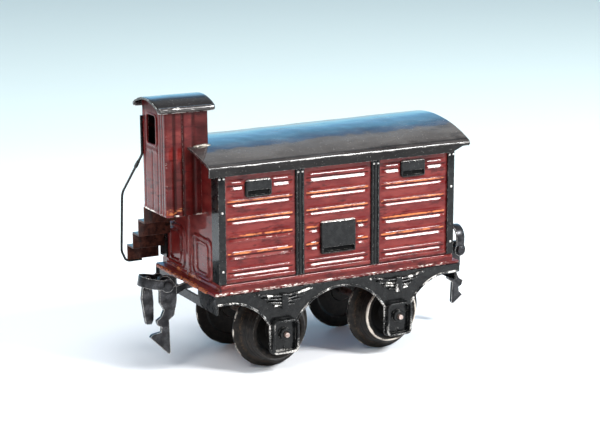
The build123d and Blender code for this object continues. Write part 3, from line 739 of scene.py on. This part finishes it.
def end_paint(y, z, end):
    """Marks of an end panel: bare ring crests with painted shade beside them, thin lacquer at the foot,
    painted shadow high on the cab end.
    """
    bare_and_highlight = thin = dirt_and_shade = 0.0
    for outer, inner in end_rings(y, z, end):
        patch = 0.5 + wave(y, z, end, 3.0, 2)
        bare_and_highlight = max(bare_and_highlight, 0.5 * patch * (1 - min(1, abs(outer) / 0.4)),
                   0.45 * patch * (1 - min(1, abs(inner) / 0.4)))
        # painted shade in the creases beside each ring
        if 0.5 < abs(outer) < 0.8 or 0.5 < abs(inner) < 0.75:
            dirt_and_shade = 0.7
    if z < FLOOR_TOP + 1.4:
        thin = 0.35 + 0.5 * wave(y, z, end, 4, 6)
    # painted shadow high on the cab end, under the overhanging cab and roof
    dirt_and_shade = max(dirt_and_shade, 0.55 * ease(z, 44, 56) * (0.7 + 0.5 * wave(y, z, end, 5, 3)) * (end < 0))
    return thin, bare_and_highlight, dirt_and_shade


for end_name, end in ENDS.items():
    low, high = box(f"{end_name}_panel")
    inner_x, face_x = (low.x, high.x - 0.5) if end > 0 else (high.x, low.x + 0.5)
    crown, edge = high.z, box("roof")[0].z + 2.2
    half = high.y

    def level(y, share):
        """Height above the floor at a share of the way up to the arched top edge."""
        top = crown - (crown - edge - 2.4) * (y / half) ** 2
        return FLOOR_TOP + share * (top - FLOOR_TOP)

    shape = sheet(
        span(-half, half, 0.3), span(0.0, 1.0, 0.007),
        lambda y, v: (face_x + end * end_height(y, level(y, v), end), y, level(y, v)),
        lambda y, v: (inner_x, y, level(y, v)), colour=lambda y, v: end_paint(y, level(y, v), end))
    piece(f"{end_name}_stamped_panel", shape, "body_red", [f"{end_name}_panel"])


# ---- floor ----

def floor_paint(p):
    """Marks of the floor: scuffed and dirtied along both long rims, the bare metal partly a painted
    highlight.
    """
    return (0.0, 0.42 + 0.4 * wave(*p, 5.0, 8), 0.35) if abs(p[1]) > FACE + 0.7 else CLEAN


low, high = box("floor_tray")
shape = plate([framed(low.x, high.x, low.y, high.y, 0.8)], low.z, high.z, 0.3, "z")
piece("floor_sheet", painted(shape, floor_paint), "body_red", ["floor_tray"])
edge_x, bead_z = low.x - 0.05, FLOOR_LOW + 0.5
shape = joined(*(bead((edge_x, start, bead_z), (edge_x, end, bead_z), 0.75, lump=0.2)
                 for start, end in ((1.0, FACE - 0.4), (-18.6, 0.2))))
piece("floor_end_beads", painted(shape, (0.5, 0.1, 0.35)), "body_red")


# ---- roof ----

roof_low, roof_high = box("roof")
EAVE_Y, EAVE_Z = roof_high.y, POST_TOP + 1.4
LIP, TUCK = 3.3, 0.7  # the folded lip's depth and how far it leans in
SNIP, SNIP_LIP = 8.0, 0.9  # the lip is cut away towards the plain end
CROWN_FALL = 1.55  # the crown drops this much towards the cab
FOLD = 6  # steps round the fold at the eave
CAB_LOW, CAB_HIGH = box("cab_shell")
NOTCH_Y, NOTCH_X = CAB_HIGH.y + 0.05, CAB_HIGH.x + 0.05


def roof_crown(x):
    """Height of the roof's crown at x."""
    return roof_high.z - CROWN_FALL * (roof_high.x - x) / (roof_high.x - roof_low.x)


def vault(y, half, edge, crown):
    """Height at y of the arc through (-half, edge), (0, crown) and (half, edge)."""
    rise = crown - edge
    radius = (half * half + rise * rise) / (2 * rise)
    return crown - radius + sqrt(radius * radius - y * y)


ROOF_RUN = span(-EAVE_Y + 1.0, EAVE_Y - 1.0, 0.7, -NOTCH_Y, NOTCH_Y)


@cache
def roof_line(x, inset):
    """The roof's section at x, from one lip's foot over the crown to the other's."""
    lip = LIP - (LIP - SNIP_LIP) * ease(x, roof_high.x - SNIP, roof_high.x)
    crown = roof_crown(x) - inset
    half, edge = EAVE_Y - inset, EAVE_Z - inset

    def sag(y):
        return 0.14 * wave(x, y, 0, 14, 2) + 0.05 * wave(x, y, 0, 4, 8)

    arch = [(y, vault(y, half, edge, crown) + sag(y)) for y in ROOF_RUN]
    foot = (half - TUCK, EAVE_Z - lip)
    start, corner, end = (half - 0.25, edge - 0.9), (half, edge), arch[-1]
    side = [tuple(a + (b - a) * k / 3 for a, b in zip(foot, start)) for k in range(3)]
    for k in range(FOLD):
        t = k / FOLD
        side.append(tuple((1 - t) ** 2 * a + 2 * t * (1 - t) * b + t * t * c
                          for a, b, c in zip(start, corner, end)))
    ripple = 0.1 * wave(x, 0, 0, 5, 12)
    left = [(-y - ripple, z) for y, z in side]
    return left + arch + [(y + ripple, z) for y, z in reversed(side)]


def roof_paint(x, k):
    """Marks of the roof: dust on top, bare eave folds that are partly a painted highlight, bare end edges,
    painted shade on the lip under each fold and in a line just inside it.
    """
    y, z = roof_line(x, 0)[k]
    # bare eave fold, partly wear and partly a painted highlight
    at_eave = 1 - ease(abs(z - EAVE_Z + 0.38), 0.08, 0.3)
    end_edge = 1 - ease(min(x - roof_low.x, roof_high.x - x), 0.1, 0.6)
    patch = 0.62 + 0.5 * wave(x, y, 0, 5, 21)
    dust = 0.25 * max(0.0, wave(x * 0.5, y, z, 3, 17))
    # painted shade in a line just inside each eave fold
    above = (1 - ease(abs(EAVE_Y - abs(y) - 1.5), 0.2, 0.6)) * 0.8
    # painted shade on the lip under each fold
    lip = 0.85 * (z < EAVE_Z - 0.55) * (abs(y) > EAVE_Y - 1.0)
    return dust, max(0.85 * at_eave, 0.55 * end_edge) * patch, max(lip, above * (z > EAVE_Z - 0.3))


RUN_Y = [y for y, z in roof_line(0, 0)]
shape = sheet(
    span(roof_low.x, roof_high.x, 0.9, NOTCH_X), list(range(len(RUN_Y))),
    lambda x, k: (x, *roof_line(x, 0)[k]), lambda x, k: (x, *roof_line(x, SHEET)[k]),
    keep=lambda x, k: x > NOTCH_X or abs(RUN_Y[int(k)] + RUN_Y[int(k) + 1]) / 2 > NOTCH_Y,
    colour=roof_paint)
piece("roof_sheet", shape, "roof_black", ["roof"])


# ---- cab ----

PLANK_LINES = (7.2, 1.3, -3.1, -5.5, -7.2)  # the front wall's seams, across
GROOVES = (-53.6, -50.6, -46.8)  # the side walls' flutes, along
(WINDOW_LEFT, WINDOW_RIGHT), (SILL, LINTEL) = (-2.0, 5.2), (76.6, 86.2)
CAB_EAVE = 86.6
CAB_ARCH = CAB_HIGH.z
SADDLE = roof_crown(PANEL_LOW.x) - SHEET + 0.05  # where the cab's walls meet the wagon's roof


def wall_run(step):
    """Places round the cab's outline: x, y and the outward normal, starting inside the front wall."""
    radius = 0.7
    x_low, x_high, half = CAB_LOW.x, CAB_HIGH.x, CAB_HIGH.y
    front_stops = [WINDOW_LEFT, WINDOW_RIGHT, *PLANK_LINES]
    walls = [((x_low, half - radius), (x_low, -half + radius), (-1, 0), front_stops),
             ((x_low + radius, -half), (x_high - radius, -half), (0, -1), [PANEL_LOW.x, *GROOVES]),
             ((x_high, -half + radius), (x_high, half - radius), (1, 0), []),
             ((x_high - radius, half), (x_low + radius, half), (0, 1), [PANEL_LOW.x, *GROOVES])]
    run = []
    for start, end, normal, stops in walls:
        axis = 1 if normal[1] == 0 else 0
        low_value, high_value = sorted((start[axis], end[axis]))
        extra = [m for s in stops for m in (s - 0.35, s, s + 0.35)]
        values = span(low_value, high_value, step, *extra)
        if start[axis] > end[axis]:
            values.reverse()
        for value in values:
            place = (start[0], value) if axis else (value, start[1])
            run.append((*place, *normal))
        turn_from = atan2(normal[1], normal[0])
        centre = (end[0] - normal[0] * radius, end[1] - normal[1] * radius)
        for k in range(1, 5):
            angle = turn_from + pi / 2 * k / 5
            nx, ny = cos(angle), sin(angle)
            run.append((centre[0] + radius * nx, centre[1] + radius * ny, nx, ny))
    return run


WALL = wall_run(0.5)


def wall_height(k, z):
    """Relief of the cab's walls: plank lines in front, broad flutes at the sides."""
    x, y, nx, ny = WALL[k]
    lift = 0.06 * wave(x, y, z, 6, 13)
    if nx < -0.9:
        for line in PLANK_LINES:
            if not WINDOW_LEFT - 1 < line < WINDOW_RIGHT + 1 or z <= SILL - 2.2:
                lift -= bump_of(y - line, 0.36, 0.16)
        if WINDOW_LEFT - 1 < y < WINDOW_RIGHT + 1:
            lift += 0.18 * bump_of(z - SILL + 1.9, 0.5, 1)
    elif abs(ny) > 0.9:
        for line, half in zip(GROOVES, (0.5, 0.3, 0.6)):
            lift -= bump_of(x - line, half, 0.24)
    lift += bump_of(z - CAB_LOW.z - 0.5, 0.55, 0.14)
    return lift


def wall_point(k, z, inset):
    """A place on the walls' outer or inner skin; above the eave they follow the roof's arch."""
    x, y, nx, ny = WALL[k]
    top = vault(min(abs(y), CAB_HIGH.y), 10.2, 89.1, CAB_ARCH + 0.02) - 0.03
    if z > CAB_EAVE:
        z = CAB_EAVE + (z - CAB_EAVE) * (top - CAB_EAVE) / (CAB_ARCH - CAB_EAVE)
    out = wall_height(k, z) if inset == 0 else -inset
    return x + nx * out, y + ny * out, z


def wall_paint(k, z):
    """Marks of the cab's walls: painted shade in the seams and flutes and under the cab roof, bare corners
    and foot, thin lacquer over the solder, and a painted shadow on the near wall towards the end wall.
    """
    x, y, nx, ny = WALL[k]
    dirt_and_shade = bare_and_highlight = thin = 0.0
    # painted shade in the front's seams and the sides' flutes
    if nx < -0.9 and min(abs(y - line) for line in PLANK_LINES) < 0.3:
        dirt_and_shade = 0.75
    if abs(ny) > 0.9 and min(abs(x - line) for line in GROOVES) < 0.42:
        dirt_and_shade = 0.8
    if abs(nx) > 0.2 and abs(ny) > 0.2:
        bare_and_highlight = 0.12 + 0.5 * wave(0, y, z, 4, 31)
    if ny < -0.5 and CAB_LOW.z + 0.9 < z < CAB_LOW.z + 2.8 and x < -51:
        thin = 0.45 + 0.6 * wave(x, y, z, 1.7, 9)
    if z < CAB_LOW.z + 0.5:
        bare_and_highlight = 0.4 + 0.5 * wave(x, y, z, 2.5, 3)
    # painted shade under the cab roof
    if z > CAB_EAVE:
        dirt_and_shade = max(dirt_and_shade, 0.6)
    # painted shadow of the roof on the near wall, deepest towards the end wall
    if ny < -0.5:
        dirt_and_shade = max(dirt_and_shade, 0.25 + 0.4 * ease(x, -52, -45) + 0.5 * wave(x, y, z, 4, 19))
    return max(thin, 0.0), bare_and_highlight, dirt_and_shade


def wall_kept(k, z):
    """Whether a cell of the walls is there: not under the saddle and not in the window."""
    (x, y), (x2, y2) = WALL[int(k) % len(WALL)][:2], WALL[(int(k) + 1) % len(WALL)][:2]
    middle_x, middle_y = (x + x2) / 2, (y + y2) / 2
    if middle_x > PANEL_LOW.x and z < SADDLE:
        return False
    in_window = WINDOW_LEFT < middle_y < WINDOW_RIGHT and SILL < z < LINTEL
    return not (middle_x < CAB_LOW.x + 0.1 and in_window)


shape = sheet(
    list(range(len(WALL))), span(CAB_LOW.z, CAB_EAVE, 0.45, SADDLE, SILL, LINTEL) + [88.2, 89.8, CAB_ARCH],
    lambda k, z: wall_point(k, z, 0), lambda k, z: wall_point(k, z, SHEET), keep=wall_kept, closed=True,
    # the inner skin is painted fully dark, as shade inside the cab
    colour=wall_paint, inside=(0.0, 0.0, 1.0))
piece("cab_walls", shape, "body_red", ["cab_shell"])

frame_edge = framed(WINDOW_LEFT, WINDOW_RIGHT, SILL, LINTEL - 0.05, 1.7, 0.75)
frame_hole = framed(WINDOW_LEFT, WINDOW_RIGHT, SILL, LINTEL, 1.2, -0.05)
shape = plate([frame_edge, frame_hole], CAB_LOW.x - 0.22, CAB_LOW.x + 0.2, 0.16, "x")
piece("cab_window_frame", shape, "body_red")

roof_a, roof_b = box("cab_roof")
ROLL = 1.0
arch_half = roof_b.y - ROLL
arch_edge = roof_a.z + 2 * ROLL - 0.25


def cab_roof_point(x, y, inset):
    """A place on the cab roof's outer or inner skin: a vault that droops at its two end edges."""
    droop = 0.12 * (1 - ease(min(x - roof_a.x, roof_b.x - x), 0, 0.5))
    return x, y, vault(y, arch_half, arch_edge - inset, roof_b.z - inset) - droop + 0.08 * wave(x, y, 0, 6, 5)


def cab_roof_paint(x, y):
    """Marks of the cab roof: bare end edges, painted shade beside the rolls, darker towards both sides."""
    end_edge = 1 - ease(min(x - roof_a.x, roof_b.x - x), 0.1, 0.45)
    seam = 1 - ease(abs(arch_half - abs(y) - 0.35), 0.15, 0.4)
    bare_and_highlight = 0.85 * end_edge * (0.6 + 0.5 * wave(x, y, 0, 3, 3))
    # painted shade beside the rolls; darker towards both sides
    return 0.0, bare_and_highlight, max(0.85 * seam, 0.75 * ease(abs(y), 2.0, 4.5))


def roll_paint(p):
    """Wear of the rolls along the cab roof's eaves, barest underneath."""
    return 0.1, 0.3 + 0.35 * wave(*p, 2.5, 9) + (0.35 if p[2] < roof_a.z + 0.35 else 0), 0.0


shape = sheet(
    span(roof_a.x, roof_b.x, 0.4), span(-arch_half, arch_half, 0.35),
    lambda x, y: cab_roof_point(x, y, 0.0), lambda x, y: cab_roof_point(x, y, 0.7), colour=cab_roof_paint)
rolls = [bead((roof_a.x, side * arch_half, roof_a.z + ROLL), (roof_b.x, side * arch_half, roof_a.z + ROLL),
              ROLL, count=40, sides=20, lump=0.05) for side in (-1, 1)]
piece("cab_roof_sheet", joined(shape, *(painted(roll, roll_paint) for roll in rolls)), "roof_black",
      ["cab_roof"])


# ---- solder where the roof meets the cab ----

def blob(centre, size, seed, rings=14, turns=22):
    """A lumpy, flattened drop of solder."""
    points = []
    for ring in range(1, rings):
        tilt = pi * ring / rings
        for k in range(turns):
            spin = 2 * pi * k / turns
            way = Vector((sin(tilt) * cos(spin), sin(tilt) * sin(spin), cos(tilt)))
            lump = 1 + 0.28 * wave(*way, 0.7, seed) + 0.12 * wave(*way, 0.25, seed)
            points.append(tuple(c + s * w * lump for c, s, w in zip(centre, size, way)))
    return points, ring_faces(rings - 1, turns)


seam_z = vault(CAB_HIGH.y, EAVE_Y, EAVE_Z, roof_crown(PANEL_LOW.x))
for name, side in SIDES.items():
    wall_y = CAB_HIGH.y
    shape = joined(blob((PANEL_LOW.x + 0.8, side * (wall_y + 0.3), seam_z), (2.5, 0.8, 0.55), 3 + side),
                   blob((PANEL_LOW.x - 1.6, side * (wall_y + 0.25), seam_z - 0.2), (1.3, 0.6, 0.5), 7 + side))
    piece(f"{name}_cab_solder", shape, "coupling_steel", material=solder_metal)


# ---- stairs ----

low, high = box("stairs")
TREAD_RUN = 5.2
TREAD_LEVELS = (48.1, 42.6, 37.2, 32.3)
fold = [(low.y, high.z)]
for k, z in enumerate(TREAD_LEVELS):
    fold += [(low.y + k * TREAD_RUN, z), (low.y + (k + 1) * TREAD_RUN, z)]
fold = fold[:-1]
back = [(y + SHEET, z + SHEET) for y, z in fold]
back[0], back[-1] = (fold[0][0] + SHEET, high.z), (fold[-1][0] + SHEET, fold[-1][1])
loop = ([(y, z, 0.25 if 0 < k < len(fold) - 1 else 0) for k, (y, z) in enumerate(fold)]
        + [(y, z, 0.45 if 0 < k < len(back) - 1 else 0) for k, (y, z) in reversed(list(enumerate(back)))])
shape = plate([rounded(loop)], low.x, high.x, 0.1, "x")
piece("stair_flight", shape, "stair_brown", ["stairs"])


# ---- joint in the handrail ----

rail_x = (box("handrail")[0].x + CAB_LOW.x) / 2
# the ends of the wire's sloping run
slope_top, slope_foot = Vector((rail_x, 8.9, 72.0)), Vector((rail_x, 27.6, 55.3))
shape = bead(slope_top.lerp(slope_foot, 0.16), slope_top.lerp(slope_foot, 0.34), 0.64, count=10, lump=0.25)
piece("handrail_joint", shape, "trim_black")


# ---- side frames ----

frame_low, frame_high = box("near_side_frame")
AXLES = [middle_of(f"near_{end}_axle_box", 0) for end in ENDS]
AXLE_Z = middle_of("cab_end_axle", 2)
GUARD = 5.0  # half width of an axle guard
RIM = 0.42  # radius of the raised rim along its lower edge
ARCH_FOOT, ARCH_CROWN, STRIP = 17.6, 27.2, 26.4  # heights of the wheel arches and of the strip's lower edge
left, right = AXLES
plain_arch = arc((right + GUARD, ARCH_FOOT - 0.8), (right + 9.8, 22.6), (right + 19, STRIP))
middle_arch = arc((left + GUARD, ARCH_FOOT), ((left + right) / 2, ARCH_CROWN), (right - GUARD, ARCH_FOOT), 24)
cab_arch = [(left + right - x, z) for x, z in reversed(plain_arch)]


def guard(x):
    """The foot of one axle guard, from its left to its right."""
    foot = [(x - GUARD, frame_low.z, 1.6), (x + GUARD, frame_low.z, 1.6)]
    return rounded([(x - GUARD, frame_low.z + 6, 0), *foot, (x + GUARD, frame_low.z + 6, 0)])[1:-1]


lower = [(frame_low.x, STRIP), *cab_arch, *guard(left), *middle_arch, *guard(right), *plain_arch,
         (frame_high.x, STRIP)]
outline = lower + [(frame_high.x, frame_high.z), (frame_low.x, frame_high.z)]
for name, side in SIDES.items():
    low, high = box(f"{name}_side_frame")
    shape = plate([outline] + [circle(x, AXLE_Z, 1.5) for x in AXLES], low.y, high.y, 0.15)
    outer_y = side * (max(abs(low.y), abs(high.y)) - 0.05)
    rim_route = [Vector((x, outer_y, z + 0.35)) for x, z in lower[1:-1]]
    rim = swept(rim_route, [RIM] * len(rim_route), 10)
    strips = [bead((start, outer_y, STRIP + 0.35), (end, outer_y, STRIP + 0.35), RIM) for start, end in
              ((frame_low.x + 0.3, rim_route[0].x), (rim_route[-1].x, frame_high.x - 0.3))]
    rivets = [dome(x + shift, outer_y, 28.3, 0.45, 0.35, side) for x in AXLES for shift in (-10.4, 10.4)]
    # bare rim, strips and rivets, partly wear and partly painted highlights
    raised = painted(joined(rim, *strips, *rivets), lambda p: (0.0, 0.42 + 0.5 * wave(*p, 2.4, 6), 0.0))
    piece(f"{name}_frame_plate", joined(shape, raised), "trim_black", [f"{name}_side_frame"])


# ---- springs and axle boxes ----

LEAVES = (10.6, 8.2, 6.0, 3.9)  # half length of each leaf, from the longest at the top
LEAF_Z, LEAF_PITCH, LEAF_HALF, LEAF_DEEP = 27.05, 1.1, 0.47, 1.25
BUCKLE_HALF, BUCKLE_LOW, BUCKLE_HIGH = 1.2, 22.7, 27.9
JOURNAL, BOSS = 0.92, 2.15


def spring(node, side, x):
    """A stack of round-edged leaves that curve up at their ends, held by a buckle."""
    inner, outer = sorted(abs(corner.y) for corner in box(node))
    parts = []
    for row, reach in enumerate(LEAVES):
        marks = [-reach + 2 * reach * k / 28 for k in range(29)]
        z = LEAF_Z - LEAF_PITCH * row
        route = [Vector((x + m, side * (inner + 0.35), z + m * m / 64)) for m in marks]
        sizes = [LEAF_HALF * sqrt(max(1 - (max(abs(m) - reach + 0.5, 0) / 0.5) ** 2, 0.05))
                 * (1 + 0.12 * wave(m, row, x, 2.5, 4)) for m in marks]
        leaf, faces = swept(route, sizes)
        parts.append(([(a, side * inner + (b - side * inner) * LEAF_DEEP, c) for a, b, c in leaf], faces))
    buckle = framed(x - BUCKLE_HALF, x + BUCKLE_HALF, BUCKLE_LOW, BUCKLE_HIGH, 0.4)
    parts.append(plate([buckle], *sorted((side * inner, side * outer)), 0.35))
    # bare patches on the outer faces of leaves and buckle, painted highlights
    shape = painted(joined(*parts),
                    lambda p: (0.0, (0.30 + 0.75 * wave(*p, 1.8, 5)) * (abs(p[1]) > inner + 0.4), 0.0))
    piece(f"{node}_leaves", shape, "trim_black", [node])


def axle_box(node, side, x):
    """An open cup with a boss round the axle's end and a rivet at its foot."""
    low, high = box(node)
    inner, outer = sorted((abs(low.y), abs(high.y)))

    def layer(outlines, depth, bevel):
        return plate(outlines, *sorted((side * inner, side * depth)), bevel)

    def edge(margin, radius):
        return framed(low.x, high.x, low.z, high.z, radius, -margin)

    def paint_marks(p):
        at_rim = abs(p[1]) > outer - 0.5 and abs(p[0] - x) - (high.x - x) + 0.9 > 0
        at_foot = p[2] < low.z + 1.6 and abs(p[1]) > inner + 0.3
        return 0.0, (0.35 + 0.7 * wave(*p, 2.2, 11)) * (at_rim or at_foot), 0.0

    journal = circle(x, AXLE_Z, JOURNAL)
    shape = joined(layer([edge(0, 1.7), edge(0.75, 1.1)], outer, 0.2),
                   layer([edge(0.3, 1.4), journal], inner + 0.5, 0.05),
                   layer([circle(x, AXLE_Z, BOSS, 36), journal], outer - 0.3, 0.3),
                   dome(x - 0.2, side * (inner + 0.4), low.z + 1.9, 0.55, 0.5, side))
    piece(f"{node}_cup", painted(shape, paint_marks), "trim_black", [node])


for side_name, side in SIDES.items():
    for end_name, x in zip(ENDS, AXLES):
        spring(f"{side_name}_{end_name}_leaf_spring", side, x)
        axle_box(f"{side_name}_{end_name}_axle_box", side, x)


# ---- wheels ----

WHEEL_BACK, FLANGE_FRONT, TREAD_START, WHEEL_FACE = 14.0, 15.3, 17.0, 21.1  # across, from the middle
FLANGE_R, ROOT_R, RIM_R, BORE_R = 14.05, 11.5, 9.9, 1.25
# radius and depth behind the wheel's face, and in front of its back
FACE_DISH = ((RIM_R - 0.25, 0.0), (8.9, 0.0), (8.4, 0.25), (7.9, 0.9), (7.2, 2.1), (6.6, 2.4), (4.0, 2.3),
             (3.5, 1.9), (3.1, 1.0), (2.8, 0.75), (BORE_R, 0.7))
BACK_DISH = ((BORE_R, 0.0), (4.0, 0.0), (4.4, 0.5), (9.6, 0.5), (10.4, 0.0))


def wheel_profile():
    """Half section of a wheel as (radius, y): flange, coned tread with two lines, dished face, hub."""
    shoulder = (FLANGE_R - 0.6, FLANGE_FRONT - 0.2)
    tip = arc((FLANGE_R - 0.5, WHEEL_BACK), (FLANGE_R, (WHEEL_BACK + FLANGE_FRONT) / 2 - 0.2), shoulder, 6)
    fillet = arc(shoulder, (ROOT_R + 0.55, FLANGE_FRONT + 0.75), (ROOT_R, TREAD_START), 6)
    tread = []
    for t in (k / 24 for k in range(1, 25)):
        lines = 0.12 * (bump_of(t - 0.3, 0.06, 1) + bump_of(t - 0.66, 0.06, 1))
        tread.append((ROOT_R + (RIM_R - ROOT_R) * t - lines,
                      TREAD_START + (WHEEL_FACE - 0.25 - TREAD_START) * t))
    return ([(r, WHEEL_BACK + depth) for r, depth in BACK_DISH] + tip + fillet[1:] + tread
            + [(r, WHEEL_FACE - depth) for r, depth in FACE_DISH])


def wheel_paint(point, x, worn):
    """Marks of a wheel: bare rim and flange, brown root of the tread, painted shade in the dish and on the
    back.
    """
    radius = hypot(point[0] - x, point[2] - AXLE_Z)
    y = abs(point[1])
    patch = wave(*point, 3.0, 5)
    bare_and_highlight = worn * (1 - ease(abs(radius - 9.8), 0.3, 0.8)) * (y > 20.5) * (0.8 + 0.6 * patch)
    bare_and_highlight = max(bare_and_highlight, 0.55 * (1 - ease(abs(radius - 14.0), 0.1, 0.5)) * (0.8 + patch))
    thin = 0.4 * (1 - ease(abs(radius - 12.1), 0.2, 0.9)) * (y > 15.4)
    # painted shade in the dish and on the wheel's back
    dirt_and_shade = 0.8 * (radius < 7.6) * (y > 18) + 0.4 * (y < 15)
    return thin, bare_and_highlight, dirt_and_shade


for side_name, side in SIDES.items():
    for end_name, x, worn in zip(ENDS, AXLES, (0.35, 1.0)):
        node = f"{side_name}_{end_name}_wheel"
        shape = painted(lathe(wheel_profile(), (x, AXLE_Z), side), lambda p: wheel_paint(p, x, worn))
        piece(f"{node}_cast", shape, "wheel_iron", [node], f"{end_name}_wheelset", sharp=32)


# ---- CAD nodes that stay: their own materials, softened edges ----

slot_of = {part["node"]: part["material_slot"] for part in frame["record"]["subparts"]}
for node, solid in frame["nodes"].items():
    if solid.hide_render:
        continue
    for place in solid.material_slots:
        place.material = SLOTS[slot_of[node]]
    weld = solid.modifiers.new("weld", "WELD")
    weld.merge_threshold = 0.002 * MM
    soft = solid.modifiers.new("soft_edges", "BEVEL")
    soft.width, soft.segments, soft.limit_method, soft.angle_limit = 0.12 * MM, 2, "ANGLE", radians(40)
    soft.use_clamp_overlap = True


# ---- stage, light and camera ----

def stage_material():
    """Pale floor that turns bluish far behind the wagon."""
    s = Shader("floor_paper")
    tone = s.steps(s.along(s.place, 0.46, 0.86), -0.02, 0.42)
    colour = s.mix(tone, (0.93, 0.94, 0.95, 1), (0.70, 0.80, 0.775, 1))
    grain = s.noise(40, 3, seed=1)
    colour = s.mix(s.steps(grain, 0.3, 0.7, 0.0, 0.03), colour, (0.8, 0.83, 0.85, 1))
    return s.close(Base_Color=colour, Roughness=0.7, Specular_IOR_Level=0.2)


floor_mesh = bpy.data.meshes.new("floor")
REACH = 4.0  # metres
floor_mesh.from_pydata([(x * REACH, y * REACH, 0) for x, y in ((-1, -1), (1, -1), (1, 1), (-1, 1))], [],
                       [(0, 1, 2, 3)])
floor_mesh.materials.append(stage_material())
floor = bpy.data.objects.new("floor", floor_mesh)
bpy.context.collection.objects.link(floor)


# the sky behind the wagon, from the horizon up: height, colour
SKY = ((0.0, (0.9, 1.2, 1.3)), (0.14, (0.67, 1.5, 2.0)), (0.29, (0.45, 1.2, 1.95)),
       (0.42, (0.37, 1.1, 1.76)), (0.52, (0.2, 0.63, 1.26)), (0.545, (0.2, 0.6, 1.2)),
       (0.56, (1.05, 1.08, 1.1)), (0.72, (1.1, 1.1, 1.1)), (0.75, (0.4, 0.4, 0.42)),
       (1.0, (0.35, 0.35, 0.36)))


def make_world():
    """Studio surroundings: neutral in front, a blue-white band behind that the roof reflects."""
    world = bpy.data.worlds.new("studio")
    world.use_nodes = True
    bpy.context.scene.world = world
    s = Shader.__new__(Shader)
    s.tree = world.node_tree
    direction = s.node("ShaderNodeTexCoord").outputs["Generated"]
    axes = s.node("ShaderNodeSeparateXYZ")
    s.plug(axes.inputs[0], direction)
    behind = s.node("ShaderNodeValToRGB")
    s.plug(behind.inputs[0], axes.outputs[2])
    stops = behind.color_ramp.elements
    while len(stops) < len(SKY):
        stops.new(0.5)
    for stop, (height, colour) in zip(stops, SKY):
        stop.position, stop.color = height, (*colour, 1)
    share = s.steps(s.along(direction, 0.6, 0.8), 0.0, 0.25)
    colour = s.mix(share, (0.78, 0.78, 0.79, 1), behind.outputs[0])
    background = world.node_tree.nodes["Background"].inputs
    s.plug(background["Color"], colour)
    background["Strength"].default_value = 0.72


make_world()


def softbox(name, azimuth, elevation, distance, size, power, target=(0, 0, 0.04)):
    """A square studio light; azimuth is degrees from -Y towards +X."""
    turn, rise = radians(azimuth), radians(elevation)
    way = Vector((sin(turn) * cos(rise), -cos(turn) * cos(rise), sin(rise)))
    lamp = bpy.data.lights.new(name, "AREA")
    lamp.energy, lamp.size = power, size
    holder = bpy.data.objects.new(name, lamp)
    holder.location = Vector(target) + way * distance
    holder.rotation_euler = (-way).to_track_quat("-Z", "Y").to_euler()
    bpy.context.collection.objects.link(holder)


softbox("key", 36, 38, 1.2, 0.27, 19)
softbox("fill", -60, 45, 1.4, 0.4, 6)
softbox("top", 10, 80, 1.2, 0.5, 7)

CAMERA_PLACE = Vector((-0.27181993, -0.50665552, 0.17806585))
CAMERA_TURN, CAMERA_FALL, CAMERA_ROLL = radians(28.213), radians(13.797), radians(-0.202)
camera = bpy.data.objects.new("camera", bpy.data.cameras.new("camera"))
bpy.context.collection.objects.link(camera)
sight = Vector((sin(CAMERA_TURN) * cos(CAMERA_FALL), cos(CAMERA_TURN) * cos(CAMERA_FALL), -sin(CAMERA_FALL)))
camera.matrix_world = (Matrix.Translation(CAMERA_PLACE) @ sight.to_track_quat("-Z", "Y").to_matrix().to_4x4()
                       @ Matrix.Rotation(CAMERA_ROLL, 4, "Z"))
camera.data.sensor_width, camera.data.lens = 36.0, 102.675
camera.data.shift_x, camera.data.shift_y = -0.01267, 0.045
camera.data.clip_start = 0.01
bpy.context.scene.camera = camera
bpy.context.scene.view_settings.view_transform = "Standard"

bpy.context.view_layer.update()
